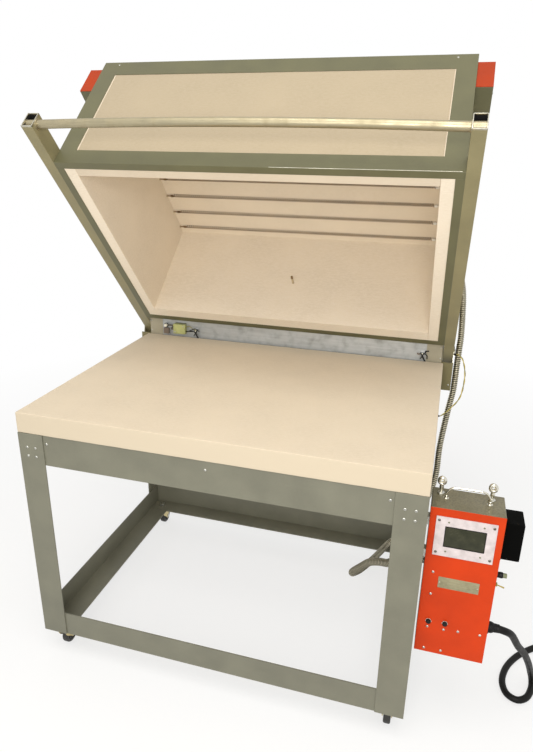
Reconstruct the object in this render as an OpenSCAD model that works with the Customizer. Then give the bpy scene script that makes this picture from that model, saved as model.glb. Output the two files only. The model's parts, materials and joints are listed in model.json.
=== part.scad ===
// Lift-hood bench oven on a castered steel stand: an insulating board bed, a
// hinged hood with an open face, coiled elements under the hood roof, lift
// arms with a handle bar, and a control case hung on the right of the stand.
// Millimetres, +Z up, the floor at Z = 0, the front of the oven facing -Y.

/* [Bed and stand] */
// Width of the bed
bed_w = 1200; // [900:10:1500]
// Depth of the bed
bed_d = 865; // [700:5:1100]
// Height of the bed's top face above the floor
bed_top = 896; // [700:1:1000]
// Thickness of the bed board
bed_t = 65; // [40:1:90]
// Distance from the middle to the joint between the two bed boards
bed_joint = 345; // [200:5:420]
// Flange width of the stand's angle iron
angle_w = 84; // [60:1:110]
// Wall of the stand's angle iron
angle_t = 4; // [3:0.5:8]
// Height of the rails under the bed
rail_h = 101; // [70:1:140]
// Diameter of the heads of the frame screws
screw_d = 7; // [5:0.5:10]

/* [Casters] */
// Height of a caster from the floor to the leg
caster_h = 90; // [75:1:110]
// Diameter of a caster wheel
wheel_d = 62; // [50:1:68]
// Width of a caster wheel
wheel_w = 22; // [16:1:26]
// Distance of a caster's swivel axis from the corner of the stand
caster_in = 47; // [44:1:60]

/* [Hood] */
// Height of the hood
hood_h = 469; // [350:1:600]
// Distance from the bed's side edge to the hood
hood_side = 4; // [2:1:10]
// Distance from the bed's front edge to the closed hood
hood_front = 24; // [10:1:60]
// Distance from the bed's rear edge to the closed hood
hood_rear = 21; // [15:1:30]
// Angle that the hood stands open
open_deg = 49; // [30:1:60]
// Thickness of the hood's sheet frames
skin_t = 2; // [1.5:0.5:4]
// Width of the lip that holds the boards at the mouth
lip_w = 24; // [15:1:30]
// Width of the frame at the sides of each panel window
side_border = 57; // [40:1:80]
// Width of the frame above each panel window
top_border = 63; // [40:1:90]
// Width of the frame below each panel window
low_border = 55; // [40:1:80]
// Thickness of the front board
front_t = 52; // [40:1:70]
// Thickness of the side boards
side_t = 58; // [40:1:80]
// Thickness of the rear board
rear_t = 68; // [50:1:90]
// Thickness of the roof board
roof_t = 60; // [50:1:90]

/* [Lift arms and hinge] */
// Width of the lift arm's rectangular tube
arm_w = 36; // [24:1:46]
// Height of the lift arm's rectangular tube
arm_h = 54; // [44:1:66]
// Wall of the lift arm's tube
arm_t = 2.5; // [2:0.5:4]
// Length of the lift arm in front of the hood
arm_front = 131; // [90:1:200]
// Diameter of the handle bar
bar_d = 26; // [20:1:30]
// Distance from the hood's rear face back to the pivot
pivot_back = 80; // [70:1:95]
// Diameter of the pivot pin
pin_d = 12; // [10:1:16]

/* [Elements] */
// Number of element rows under the roof
rows = 8; // [4:1:9]
// Outer diameter of the coiled wire
coil_d = 14; // [10:0.5:20]
// Length of a coiled row
coil_l = 1040; // [700:10:1400]

/* [Terminal covers] */
// Width of the terminal cover on each side of the hood
cover_w = 47; // [35:1:60]
// Height of the terminal cover
cover_h = 106; // [80:1:130]
// Height of the terminal cover above the mouth of the hood
cover_up = 333; // [200:1:350]

/* [Control case] */
// Width of the control case
case_w = 185; // [160:1:240]
// Height of the control case
case_h = 468; // [400:1:560]
// Depth of the control case
case_d = 107; // [90:1:150]
// Gap between the stand and the control case
case_gap = 6; // [4:1:15]
// Distance from the front of the stand to the front of the control case
case_back = 50; // [20:1:80]
// Distance of the control case's top below the bed's top face
case_drop = 120; // [80:1:160]

/* [Leads] */
// Diameter of the power cord
cord_d = 21; // [16:1:24]
// Diameter of the metal conduit
conduit_d = 24; // [18:1:28]
// Diameter of the sensor lead
lead_d = 6; // [4:1:8]

/* [Hidden] */

$fn = 48;
eps = 0.01;
hole_clear = 0.05;   // radial clearance of a running fit
seat_gap = 1;        // gap under the closed hood
hx = bed_w/2;
frame_top = bed_top - bed_t;
rail_low = frame_top - rail_h;
// hood, closed
hood_w = bed_w - 2*hood_side;
hood_d = bed_d - hood_front - hood_rear;
wx = hood_w/2;
hy0 = hood_front;
hy1 = hood_front + hood_d;
hz0 = bed_top + seat_gap;
hz1 = hz0 + hood_h;
inner_x = wx - skin_t;
roof_z = hz1 - skin_t - roof_t;
// terminal covers, closed
cover_y0 = hy0 + 5;
cover_y1 = hy1 - 65;
// hinge
arm_z = hz0 + 1;
piv_y = hy1 + pivot_back;
piv_z = arm_z + arm_h/2;
arm_x = wx;
cheek_t = 3;
cheek_gap = 0.5;
plate_y = bed_d + 11;
// control case
cx0 = hx + case_gap;
cy0 = case_back;
cz1 = bed_top - case_drop;
cz0 = cz1 - case_h;
panel_t = 2;
box_w = 52;
box_h = 114;
box_d = 74;
box_y = cy0 + 35;
box_z = cz1 - 33 - box_h;
// outer limits of the open oven, for the origin under its middle
out_left = -(wx + cover_w);
out_right = cx0 + case_w + box_w;
rear_y = piv_y - pivot_back*cos(open_deg) + (hz1 - piv_z)*sin(open_deg);
front_y = -screw_d*0.25;
org_x = -(out_left + out_right)/2;
org_y = -(front_y + rear_y)/2;

module site() { translate([org_x, org_y, 0]) children(); }
module opened() {
    translate([0, piv_y, piv_z]) rotate([-open_deg, 0, 0])
        translate([0, -piv_y, -piv_z]) children();
}
module mirrored() { children(); mirror([1, 0, 0]) children(); }
module xrod(d, l) { rotate([0, 90, 0]) cylinder(d = d, h = l); }
module yrod(d, l) { rotate([-90, 0, 0]) cylinder(d = d, h = l); }
// a slightly domed screw head that faces -Y
module yhead(d) { rotate([90, 0, 0]) cylinder(d1 = d, d2 = d*0.72, h = d*0.25, $fn = 24); }

// ---- swept tube --------------------------------------------------------
function unit(v) = v/norm(v);
function catmull(p, i, t) = let (n = len(p), a = p[max(i-1, 0)], b = p[i],
    c = p[min(i+1, n-1)], d = p[min(i+2, n-1)])
    0.5*((2*b) + (c-a)*t + (2*a-5*b+4*c-d)*t*t + (3*b-a-3*c+d)*t*t*t);
function route(p, per) = concat([for (i = [0:len(p)-2], k = [0:per-1])
    catmull(p, i, k/per)], [p[len(p)-1]]);
function tangent(q, i) = unit(q[min(i+1, len(q)-1)] - q[max(i-1, 0)]);
function perp(t) = unit(abs(t[2]) < 0.9 ? cross(t, [0, 0, 1]) : cross(t, [1, 0, 0]));
// each ring's side vector is the last one carried along the curve
function frames(q, i = 0, u = undef, out = []) = i == len(q) ? out :
    let (t = tangent(q, i), w = i == 0 ? perp(t) : unit(u - t*(u*t)))
    frames(q, i+1, w, concat(out, [w]));
module tube_along(p, d, per, sides = 10) {
    q = route(p, per);
    f = frames(q);
    n = len(q);
    pts = [for (i = [0:n-1]) let (t = tangent(q, i), u = f[i], v = cross(t, u))
        for (k = [0:sides-1]) q[i] + (u*cos(360*k/sides) + v*sin(360*k/sides))*d/2];
    polyhedron(points = pts, faces = concat(
        [[for (k = [sides-1:-1:0]) k]],
        [[for (k = [0:sides-1]) (n-1)*sides + k]],
        [for (i = [0:n-2], k = [0:sides-1]) [i*sides+k, i*sides+(k+1)%sides,
            (i+1)*sides+(k+1)%sides, (i+1)*sides+k]]));
}

// ---- stand -------------------------------------------------------------
// leg: two flanges that meet at the outer corner, at +X and -Y
module leg_shape(h) {
    translate([-angle_w, 0, 0]) cube([angle_w, angle_t, h]);
    translate([-angle_t, angle_t-eps, 0]) cube([angle_t, angle_w-angle_t+eps, h]);
}
leg_h = frame_top - caster_h;
module front_legs() { color("#86847a") site() mirrored()
    translate([hx, 0, caster_h]) leg_shape(leg_h); }
module rear_legs() { color("#86847a") site() mirrored()
    translate([hx, bed_d, caster_h]) mirror([0, 1, 0]) leg_shape(leg_h); }
// rail that runs along X, its face at y = 0 and a flat flange that points to +Y
in_w = angle_w - angle_t;
module rail_x(h, flat_top) {
    l = 2*(hx-angle_t);
    translate([-l/2, 0, 0]) cube([l, angle_t, h]);
    translate([-l/2+angle_t, angle_t-eps, flat_top ? h-angle_t : 0])
        cube([l-2*angle_t, in_w-angle_t+eps, angle_t]);
}
// rail that runs along Y, its face at x = 0 and a flat flange that points to -X
module rail_y(h, flat_top) {
    translate([-angle_t, 2*angle_t, 0]) cube([angle_t, bed_d-4*angle_t, h]);
    translate([-in_w, angle_t+in_w, flat_top ? h-angle_t : 0])
        cube([in_w-angle_t+eps, bed_d-2*angle_t-2*in_w, angle_t]);
}
module top_front_rail() { color("#86847a") site() translate([0, angle_t, rail_low]) rail_x(rail_h, true); }
module top_rear_rail() { color("#86847a") site() translate([0, bed_d-angle_t, rail_low])
    mirror([0, 1, 0]) rail_x(rail_h, true); }
module top_side_rails() { color("#86847a") site() mirrored()
    translate([hx-angle_t, 0, rail_low]) rail_y(rail_h, true); }
// low rails; the front and rear ones carry the caster stems
module low_rail_x() {
    difference() {
        rail_x(angle_w, false);
        mirrored() translate([cas_x, caster_in-angle_t, -1]) cylinder(d = stem_d+2*hole_clear, h = angle_t+2);
    }
}
module low_front_rail() { color("#86847a") site() translate([0, angle_t, caster_h]) low_rail_x(); }
module low_rear_rail() { color("#86847a") site() translate([0, bed_d-angle_t, caster_h])
    mirror([0, 1, 0]) low_rail_x(); }
module low_side_rails() { color("#86847a") site() mirrored()
    translate([hx-angle_t, 0, caster_h]) rail_y(angle_w, false); }
module frame_screws() { color("silver") site() {
    mirrored() for (x = [hx-57, hx-29], z = [bed_t+45, bed_t+74]) translate([x, 0, bed_top-z]) yhead(screw_d);
    for (x = [-(hx-95), 0, hx-95]) translate([x, angle_t, frame_top-28]) yhead(screw_d);
} }
module bed_main_board() { color("#ecdcc4") site() translate([-hx, 0, frame_top])
    cube([hx+bed_joint, bed_d, bed_t]); }
module bed_side_board() { color("#ecdcc4") site() translate([bed_joint, 0, frame_top])
    cube([hx-bed_joint, bed_d, bed_t]); }
bearer_w = 40;
module bed_bearers() { color("#7c7a70") site()
    for (x = [-hx/3, bed_joint]) translate([x-bearer_w/2, angle_t+in_w, frame_top-bearer_w]) {
        cube([3, bed_d-2*(angle_t+in_w), bearer_w]);
        translate([3-eps, 0, bearer_w-3]) cube([bearer_w-3+eps, bed_d-2*(angle_t+in_w), 3]);
    } }

// ---- hinge line --------------------------------------------------------
plate_top = bed_top + 66;
step_z = frame_top - 3;
// Z-shaped plate behind the bed: its foot on the rear legs, its top standing
// clear of the bed
module step_plate(x0, x1, top) {
    translate([x0, bed_d, step_z-60]) cube([x1-x0, 3, 63]);
    translate([x0, bed_d+3-eps, step_z]) cube([x1-x0, plate_y-bed_d+eps, 3]);
    translate([x0, plate_y, step_z+3-eps]) cube([x1-x0, 3, top-step_z-3+eps]);
}
plate_x = hx - 64;
module rear_plate() { color("#a6a7a4") site() step_plate(-plate_x, plate_x, plate_top); }
cheek_r = 20;
pin_head = 3;
br_x0 = arm_x - cheek_t - cheek_gap;
br_x1 = arm_x + arm_w + cheek_gap;
br_low = bed_top - 110;
module bracket() {
    // two cheeks beside the arm, joined by a web behind the stand
    difference() {
        union() {
            for (x = [br_x0, br_x1]) hull() {
                translate([x, plate_y, br_low]) cube([cheek_t, piv_y-plate_y+cheek_r, 24]);
                translate([x, piv_y, piv_z]) xrod(2*cheek_r, cheek_t);
            }
            translate([br_x0, plate_y, br_low]) cube([br_x1-br_x0+cheek_t, 3, bed_top-1-br_low]);
            step_plate(plate_x, br_x0+eps, plate_top);
        }
        translate([br_x0-1, piv_y, piv_z]) xrod(pin_d, br_x1-br_x0+cheek_t+2);
    }
}
module pivot_brackets() { color("#8a8560") site() mirrored() bracket(); }
module pivot_pins() { color("silver") site() mirrored() translate([0, piv_y, piv_z]) {
    translate([br_x0-pin_head, 0, 0]) xrod(pin_d+6, pin_head);
    translate([br_x0-eps, 0, 0]) xrod(pin_d, br_x1+cheek_t-br_x0+2*eps);
    translate([br_x1+cheek_t, 0, 0]) xrod(pin_d+6, pin_head);
} }
module limit_switch() { color("#c3c774") site() translate([-(hx-120), plate_y-22, bed_top+12]) {
    cube([52, 22, 40]);
    translate([-36, 9, 26]) cube([36+eps, 6, 8]);
    translate([-36, 5, 30]) yrod(12, 12);
} }
module clip() {
    translate([0, plate_y-3, bed_top+6]) cube([26, 3, 34]);
    translate([4, plate_y-12, bed_top+24]) cube([18, 9+eps, 4]);
    translate([10, plate_y-16, bed_top+10]) cube([6, 4+eps, 18]);
}
module lead_clips() { color("#3b3f38") site() {
    translate([-(hx-200), 0, 0]) clip();
    translate([hx-92, 0, 0]) clip();
} }

// ---- control case ------------------------------------------------------
module in_case(x, z) { translate([cx0 + x, cy0, cz1 - z]) children(); }
module control_case() { color("#827f70") site() difference() {
    union() {
        translate([cx0, cy0+panel_t, cz0]) cube([case_w, case_d-panel_t, case_h]);
        // tabs that hold the case to the leg and the rail
        for (z = [cz1-60, cz1-60-rail_h]) translate([hx, cy0+8, z])
            cube([case_gap+eps, 24, 24]);
    }
    // pockets for the gland, the side socket, the toggle and the fuse holders
    translate([cx0+case_w-8, cy0+gland_y, gland_z]) xrod(gland_bore, 9);
    translate([cx0+case_w-4, cy0+side_y, socket_z]) xrod(12, 5);
    translate([cx0+case_w-14, cy0+side_y, toggle_z]) xrod(12, 15);
    for (p = cap_pos) in_case(p[0], p[1]) yrod(10, 14);
} }
side_y = 40;
bez_x = 16.5;
bez_z = 22;
bez_w = 151.5;
bez_h = 119;
glass = [41, 49, 103, 63];
cap_pos = [[29.6, 359], [73.1, 357]];
module control_front() { color("#e05a22") site() difference() {
    translate([cx0, cy0, cz0]) cube([case_w, panel_t, case_h]);
    for (p = cap_pos) in_case(p[0], p[1]) translate([0, -1, 0]) yrod(10, panel_t+2);
} }
module display_bezel() { color("#e6dfe0") site() difference() {
    in_case(bez_x, bez_z+bez_h) translate([0, -3, 0]) cube([bez_w, 3, bez_h]);
    in_case(glass[0], glass[1]+glass[3]) translate([0, -4, 0]) cube([glass[2], 5, glass[3]]);
} }
module display_glass() { color("#5a5f42") site()
    in_case(glass[0], glass[1]+glass[3]) translate([0, -1.5, 0]) cube([glass[2], 1.5, glass[3]]); }
module nameplate() { color("#a29f86") site()
    in_case(41, case_h-225) translate([0, -0.8, 0]) cube([105, 0.8, 35]); }
module panel_screws() { color("silver") site() {
    for (x = [bez_x+8, bez_x+bez_w-8], z = [bez_z+11, bez_z+bez_h-11])
        in_case(x, z) translate([0, -3, 0]) yhead(7);
    for (x = [glass[0]+8, glass[0]+glass[2]-8], z = [glass[1]-13, glass[1]+glass[3]+13])
        in_case(x, z) translate([0, -3, 0]) yhead(4.5);
    for (p = [[25, bez_z+bez_h+19], [26, case_h-199], [28, case_h-88], [72, case_h-88],
        [110, case_h-91], [167, case_h-94], [26, case_h-13], [72, case_h-14]])
        in_case(p[0], p[1]) yhead(7);
} }
module fuse_caps() { color("#1c1c1c") site() for (p = cap_pos) in_case(p[0], p[1]) {
    translate([0, -1.5, 0]) yrod(15, 1.5);
    translate([0, -8, 0]) yrod(12.5, 6.5+eps);
    yrod(10, 14);
} }
// bow handle across the middle of the case top
hand_x0 = 36;
hand_x1 = 146;
hand_y = 56;
hand_d = 6;
hand_h = 34;
bow_r = 22;
module case_handle() { color("silver") site() translate([cx0, cy0+hand_y, cz1]) {
    for (x = [hand_x0, hand_x1]) {
        translate([x, 0, 0]) cylinder(d = 12, h = 3);
        translate([x, 0, 0]) cylinder(d = hand_d, h = hand_h-bow_r);
    }
    translate([hand_x0+bow_r, 0, hand_h]) xrod(hand_d, hand_x1-hand_x0-2*bow_r);
    for (s = [[hand_x0+bow_r, 180], [hand_x1-bow_r, 90]])
        translate([s[0], 0, hand_h-bow_r]) rotate([90, 0, 0]) rotate([0, 0, s[1]-90])
            rotate_extrude(angle = 90) translate([bow_r, 0]) circle(d = hand_d, $fn = 24);
} }
eye_x = [22, case_w-34];
eye_y = case_d-30;
module hanger_eyes() { color("silver") site() for (x = eye_x) translate([cx0+x, cy0+eye_y, cz1]) {
    cylinder(d = 17, h = 5, $fn = 6);
    cylinder(d = 8, h = 31);
    translate([0, 0, 38]) rotate([90, 0, 0]) rotate_extrude() translate([9.5, 0]) circle(d = 8, $fn = 24);
} }
module side_box() { color("#141414") site()
    translate([cx0+case_w, box_y, box_z]) cube([box_w, box_d, box_h]); }
socket_z = cz1 - 197;
toggle_z = cz1 - 229;
module side_socket() { color("#1e1e1e") site() translate([cx0+case_w, cy0+side_y, socket_z]) {
    translate([-4, 0, 0]) xrod(12, 4+eps);
    xrod(18, 3);
    translate([3-eps, 0, 0]) xrod(16, 16);
    translate([19-eps, 0, 0]) xrod(13, 10);
} }
tog_r = 3;
module toggle_switch() { color("#8d8258") site() translate([cx0+case_w, cy0+side_y, toggle_z]) difference() {
    union() {
        translate([-14, 0, 0]) xrod(12, 14+eps);
        xrod(15, 3, $fn = 6);
        xrod(11, 9);
    }
    translate([2, 0, 0]) xrod(7, 8);
} }
lever_tilt = 17;
module toggle_lever() { color("#c6b26a") site() translate([cx0+case_w+5, cy0+side_y, toggle_z])
    rotate([0, lever_tilt, 0]) {
        translate([0, -2.5, 0]) yrod(4.8, 5);
        rotate([0, 90, 0]) cylinder(d1 = 3, d2 = 4.4, h = 22);
        translate([22-eps, 0, 0]) rotate([0, 90, 0]) cylinder(d1 = 4.4, d2 = 3, h = 2);
    } }
gland_y = 55;
gland_z = cz1 - 385;
gland_bore = 26;
gland_l = 26;
module cord_gland() { color("#202020") site() translate([cx0+case_w, cy0+gland_y, gland_z]) {
    translate([-8, 0, 0]) xrod(gland_bore, 8+eps);
    xrod(34, 8, $fn = 6);
    translate([8-eps, 0, 0]) xrod(30, 10);
    translate([18-eps, 0, 0]) rotate([0, 90, 0]) cylinder(d1 = 28, d2 = cord_d+2, h = gland_l-18);
} }

// ---- leads -------------------------------------------------------------
entry_y = 70;
entry_z = cz1 - 205;
in_y = cy0 + entry_y;
end_l = 18;
lead_x = br_x1 + cheek_t + pin_head + conduit_d/2 + 0.5;   // line of the conduit beside the hinge
sc = [
    [lead_x, piv_y, piv_z-12], [lead_x-1, piv_y-4, piv_z-60], [lead_x-3, piv_y-14, piv_z-150],
    [lead_x-13, bed_d+30, entry_z+129], [lead_x-27, bed_d+2, entry_z-11], [hx+20, bed_d-66, entry_z-115],
    [hx-8, bed_d-118, entry_z-205], [hx-62, bed_d-165, entry_z-300], [hx-125, bed_d-205, entry_z-357],
    [hx-152, bed_d-290, entry_z-347], [hx-176, bed_d-370, entry_z-333],
    [hx-198, (in_y+bed_d)/2-87.5, entry_z-303], [hx-212, in_y+210, entry_z-263], [hx-207, in_y+160, entry_z-219],
    [hx-176, in_y+120, entry_z-162], [hx-150, in_y+93, entry_z-121], [hx-120, in_y+68, entry_z-95],
    [hx-92, in_y+43, entry_z-74], [hx-64, in_y+18, entry_z-31],
    [cx0-end_l-22, in_y, entry_z-2], [cx0-end_l, in_y, entry_z]];
module stand_conduit() { color("#a8a595") site() tube_along(sc, conduit_d, 2, 10); }
cov_x = wx + cover_w/2;
cov_y = cover_y1 - 20;
cov_z = hz0 + cover_up;
// where the conduit meets the open hood's right cover
top_y = piv_y - (piv_y-cov_y)*cos(open_deg) + (cov_z-piv_z)*sin(open_deg);
top_z = piv_z + (piv_y-cov_y)*sin(open_deg) + (cov_z-piv_z)*cos(open_deg);
down = [0, -sin(open_deg), -cos(open_deg)];
hc = [[lead_x, piv_y, piv_z+12], [lead_x+1, piv_y+2, piv_z+60], [lead_x-3, piv_y+20, piv_z+140],
    [lead_x-11, piv_y+52, piv_z+220], [cov_x, top_y, top_z] + down*44, [cov_x, top_y, top_z] + down*18];
module hood_conduit() { color("#a8a595") site() tube_along(hc, conduit_d, 3, 10); }
// a conduit connector, its nut at the top
module connector() {
    cylinder(d = conduit_d+6, h = 13);
    translate([0, 0, 13-eps]) cylinder(d = conduit_d+10, h = 5+eps, $fn = 6);
}
module case_connector() { color("silver") site() translate([cx0-18, in_y, entry_z])
    rotate([0, 90, 0]) connector(); }
module hood_connector() { color("silver") site() translate([cov_x, top_y, top_z])
    rotate([-open_deg, 0, 0]) translate([0, 0, -18]) connector(); }
sl_x = br_x1 + cheek_t;
module sensor_lead() { color("#b9b36a") site() tube_along([
    [sl_x, piv_y-19, piv_z-4], [sl_x+16, piv_y-29, piv_z-3], [sl_x+34, piv_y-29, piv_z-22],
    [sl_x+46.5, piv_y-28, bed_top-43], [sl_x+46.5, piv_y-30, bed_top-96], [sl_x+36.5, piv_y-38, bed_top-144],
    [hx+40, bed_d+3, bed_top-184], [hx+14, bed_d-14, bed_top-205], [hx, bed_d-16, bed_top-206]], lead_d, 3, 8); }
pc0 = [cx0+case_w+gland_l, cy0+gland_y, gland_z];
fz = cord_d/2;
// a point of the cord's fall, down to k of its height above the floor
function fall(x, y, k) = [pc0[0]+x, pc0[1]+y, fz+(gland_z-fz)*k];
function lay(x, y) = [pc0[0]+x, pc0[1]+y, fz];
pc = [pc0, fall(26, 2, 0.985), fall(50, 25, 0.91),
    fall(80, 74, 0.715), fall(112, 126, 0.533), fall(140, 178, 0.327), fall(161, 225, 0.135),
    lay(173, 233)+[0, 0, 8], lay(169, 203), lay(151, 163), lay(121, 145), lay(91, 163), lay(81, 207),
    lay(91, 257), lay(113, 303), lay(149, 351), lay(195, 393), lay(253, 435),
    lay(313, 470), lay(368, 491), lay(413, 497)];
module power_cord() { color("#151515") site() tube_along(pc, cord_d, 2, 10); }
coil_c = [pc0[0]+413, pc0[1]+607];
coil_R = 110 + cord_d/2;
module cord_coil() { color("#151515") site() translate([coil_c[0], coil_c[1], 0])
    rotate_extrude() translate([coil_R-cord_d, 0]) square([cord_d, 2*cord_d]); }
// straight plug lying on the coil, along its turns
plug_d = 52;
plug_at = 150;
module power_plug() { color("#1b1b1b") site() translate([coil_c[0], coil_c[1], 0]) rotate([0, 0, plug_at])
    translate([coil_R-cord_d/2-10, 0, 2*cord_d+plug_d/2]) rotate([-90, 0, 0]) {
        cylinder(d1 = cord_d+6, d2 = plug_d-14, h = 26);
        translate([0, 0, 26-eps]) cylinder(d = plug_d-6, h = 30);
        translate([0, 0, 56-eps]) cylinder(d = plug_d, h = 34);
        for (a = [90, 210, 330]) rotate([0, 0, a]) translate([13, 0, 90-eps]) cylinder(d = 6, h = 20);
    } }

// ---- hood --------------------------------------------------------------
// window of a sheet frame w wide, standing in XZ
module frame_xz(w) {
    difference() {
        translate([-w/2, 0, hz0]) cube([w, skin_t, hood_h]);
        translate([-w/2+side_border, -1, hz0+low_border])
            cube([w-2*side_border, skin_t+2, hood_h-low_border-top_border]);
    }
    // lip under the board
    translate([-inner_x, skin_t-eps, hz0]) cube([2*inner_x, lip_w-skin_t+eps, skin_t]);
}
module hood_front_frame() { color("#8a8876") site() opened() translate([0, hy0, 0]) frame_xz(hood_w); }
module hood_rear_frame() { color("#8a8876") site() opened() translate([0, hy1, 0]) mirror([0, 1, 0]) frame_xz(hood_w); }
module hood_side_frames() { color("#8a8876") site() opened() mirrored() {
    difference() {
        translate([inner_x, hy0+skin_t, hz0]) cube([skin_t, hood_d-2*skin_t, hood_h]);
        translate([inner_x-1, hy0+side_border, hz0+low_border])
            cube([skin_t+2, hood_d-2*side_border, hood_h-low_border-top_border]);
    }
    translate([wx-lip_w, hy0+lip_w, hz0]) cube([lip_w-skin_t+eps, hood_d-2*lip_w, skin_t]);
} }
module hood_roof_frame() { color("#8a8876") site() opened() difference() {
    translate([-inner_x, hy0+skin_t, hz1-skin_t]) cube([2*inner_x, hood_d-2*skin_t, skin_t]);
    translate([-inner_x+side_border, hy0+side_border, hz1-skin_t-1])
        cube([2*(inner_x-side_border), hood_d-2*side_border, skin_t+2]);
} }
board_z = hz0 + skin_t;
board_h = roof_z - board_z;
module front_board() { color("#ead9bf") site() opened()
    translate([-inner_x+side_t, hy0+skin_t, board_z]) cube([2*(inner_x-side_t), front_t, board_h]); }
module rear_board() { color("#ead9bf") site() opened() difference() {
    translate([-inner_x+side_t, hy1-skin_t-rear_t, board_z]) cube([2*(inner_x-side_t), rear_t, board_h]);
    translate([tc_x, hy1-skin_t-rear_t-1, tc_z]) yrod(tc_d, rear_t+2);
} }
module side_boards() { color("#ead9bf") site() opened() mirrored()
    translate([inner_x-side_t, hy0+skin_t, board_z]) cube([side_t, hood_d-2*skin_t, board_h]); }
cav_y0 = hy0 + skin_t + front_t;
cav_y1 = hy1 - skin_t - rear_t;
row_pitch = (cav_y1 - cav_y0 - 2*37)/(rows - 1);
function row_y(i) = cav_y1 - 37 - i*row_pitch;
row_z = roof_z - 2;
half_l = min(coil_l/2, inner_x - side_t - 16);
module roof_board() { color("#ead9bf") site() opened() difference() {
    translate([-inner_x, hy0+skin_t, roof_z]) cube([2*inner_x, hood_d-2*skin_t, roof_t]);
    for (i = [0:rows-1]) translate([-half_l-2, row_y(i), row_z]) xrod(coil_d+0.4, 2*half_l+4);
} }
module element_rows() { color("#a58b66") site() opened() for (i = [0:rows-1])
    translate([0, row_y(i), row_z]) {
        translate([-half_l, 0, 0]) xrod(coil_d, 2*half_l);
        mirrored() translate([half_l-eps, 0, -coil_d/4]) xrod(4, inner_x-side_t-half_l);
    } }
tc_x = 2;
tc_z = hz0 + 178;
tc_d = 9;
module thermocouple() { color("#b7a98c") site() opened() translate([tc_x, cav_y1-42, tc_z]) {
    yrod(tc_d, rear_t+42);
} }
module terminal_covers() { color("#d9541f") site() opened() mirrored()
    translate([wx, cover_y0, hz0+cover_up]) cube([cover_w, cover_y1-cover_y0, cover_h]); }

// ---- lift arms ---------------------------------------------------------
arm_y0 = hy0 - arm_front;
arm_y1 = piv_y + 70;
bar_y = arm_y0 + bar_d/2 + 4;
module lift_arms() { color("#9c956c") site() opened() mirrored() difference() {
    translate([arm_x, arm_y0, arm_z]) cube([arm_w, arm_y1-arm_y0, arm_h]);
    translate([arm_x+arm_t, arm_y0-1, arm_z+arm_t])
        cube([arm_w-2*arm_t, arm_y1-arm_y0+2, arm_h-2*arm_t]);
    translate([arm_x-1, bar_y, piv_z]) xrod(bar_d, arm_w+2);
    translate([arm_x-1, piv_y, piv_z]) xrod(pin_d+2*hole_clear, arm_w+2);
} }
module handle_bar() { color("#d2c6a6") site() opened() difference() {
    translate([-arm_x-arm_w, bar_y, piv_z]) xrod(bar_d, 2*(arm_x+arm_w));
    translate([-arm_x-arm_w-1, bar_y, piv_z]) xrod(bar_d-5, 2*(arm_x+arm_w)+2);
} }

// ---- casters -----------------------------------------------------------
fork_gap = 1.5;
fork_t = 3;
fork_w = wheel_w + 2*fork_gap + 2*fork_t;
trail = 18;
wheel_z = wheel_d/2;
axle_d = 8;
stem_d = 12;
race_d = 46;
head_z = wheel_d + 5;
cas_x = hx - caster_in;
module fork() {
    // swivel race, crown and two cheeks; the wheel trails behind the swivel
    translate([0, 0, head_z+3-eps]) cylinder(d = race_d, h = caster_h-head_z-3-0.3+eps);
    translate([0, 0, caster_h-0.3-eps]) cylinder(d = stem_d, h = angle_t+8);
    translate([0, 0, caster_h+angle_t+0.4]) cylinder(d = stem_d+9, h = 9, $fn = 6);
    translate([-fork_w/2, -23, head_z]) cube([fork_w, 46, 3]);
    difference() {
        for (s = [-1, 1]) translate([s*(fork_w-fork_t)/2 - fork_t/2, 0, 0])
            rotate([90, 0, 90]) linear_extrude(fork_t) {
                translate([trail, wheel_z]) circle(r = 10);
                polygon([[-23, head_z+eps], [-20, head_z-12], [trail-9.6, wheel_z-2.8],
                    [trail+10, wheel_z], [trail+10, head_z-14], [23, head_z+eps]]);
            }
        translate([-fork_w, trail, wheel_z]) xrod(axle_d, 2*fork_w);
    }
    translate([-fork_w/2-3, trail, wheel_z]) xrod(axle_d, fork_w+6);
    for (x = [-fork_w/2-3, fork_w/2]) translate([x, trail, wheel_z]) xrod(axle_d+5, 3, $fn = 6);
}
module wheel() {
    translate([0, trail, wheel_z]) difference() {
        rotate([0, 90, 0]) rotate_extrude() polygon([
            [axle_d/2+hole_clear, -wheel_w/2], [wheel_d/2-3, -wheel_w/2],
            [wheel_d/2, -wheel_w/2+4], [wheel_d/2, wheel_w/2-4],
            [wheel_d/2-3, wheel_w/2], [axle_d/2+hole_clear, wheel_w/2]]);
        for (s = [-1, 1]) rotate([0, s*90, 0]) translate([0, 0, wheel_w/2-4]) difference() {
            cylinder(d = wheel_d-20, h = 6);
            translate([0, 0, -1]) cylinder(d = 20, h = 8);
        }
    }
}
module at_caster(sx, back, turn) { translate([sx*cas_x, back ? bed_d-caster_in : caster_in, 0])
    rotate([0, 0, turn]) children(); }
module caster_fork_fl() { color("#cfc3a0") site() at_caster(-1, false, 0) fork(); }
module caster_fork_fr() { color("#cfc3a0") site() at_caster(1, false, 0) fork(); }
module caster_fork_rl() { color("#cfc3a0") site() at_caster(-1, true, 0) fork(); }
module caster_fork_rr() { color("#cfc3a0") site() at_caster(1, true, 0) fork(); }
module caster_wheel_fl() { color("#2a2a28") site() at_caster(-1, false, 0) wheel(); }
module caster_wheel_fr() { color("#2a2a28") site() at_caster(1, false, 0) wheel(); }
module caster_wheel_rl() { color("#2a2a28") site() at_caster(-1, true, 0) wheel(); }
module caster_wheel_rr() { color("#2a2a28") site() at_caster(1, true, 0) wheel(); }

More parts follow.
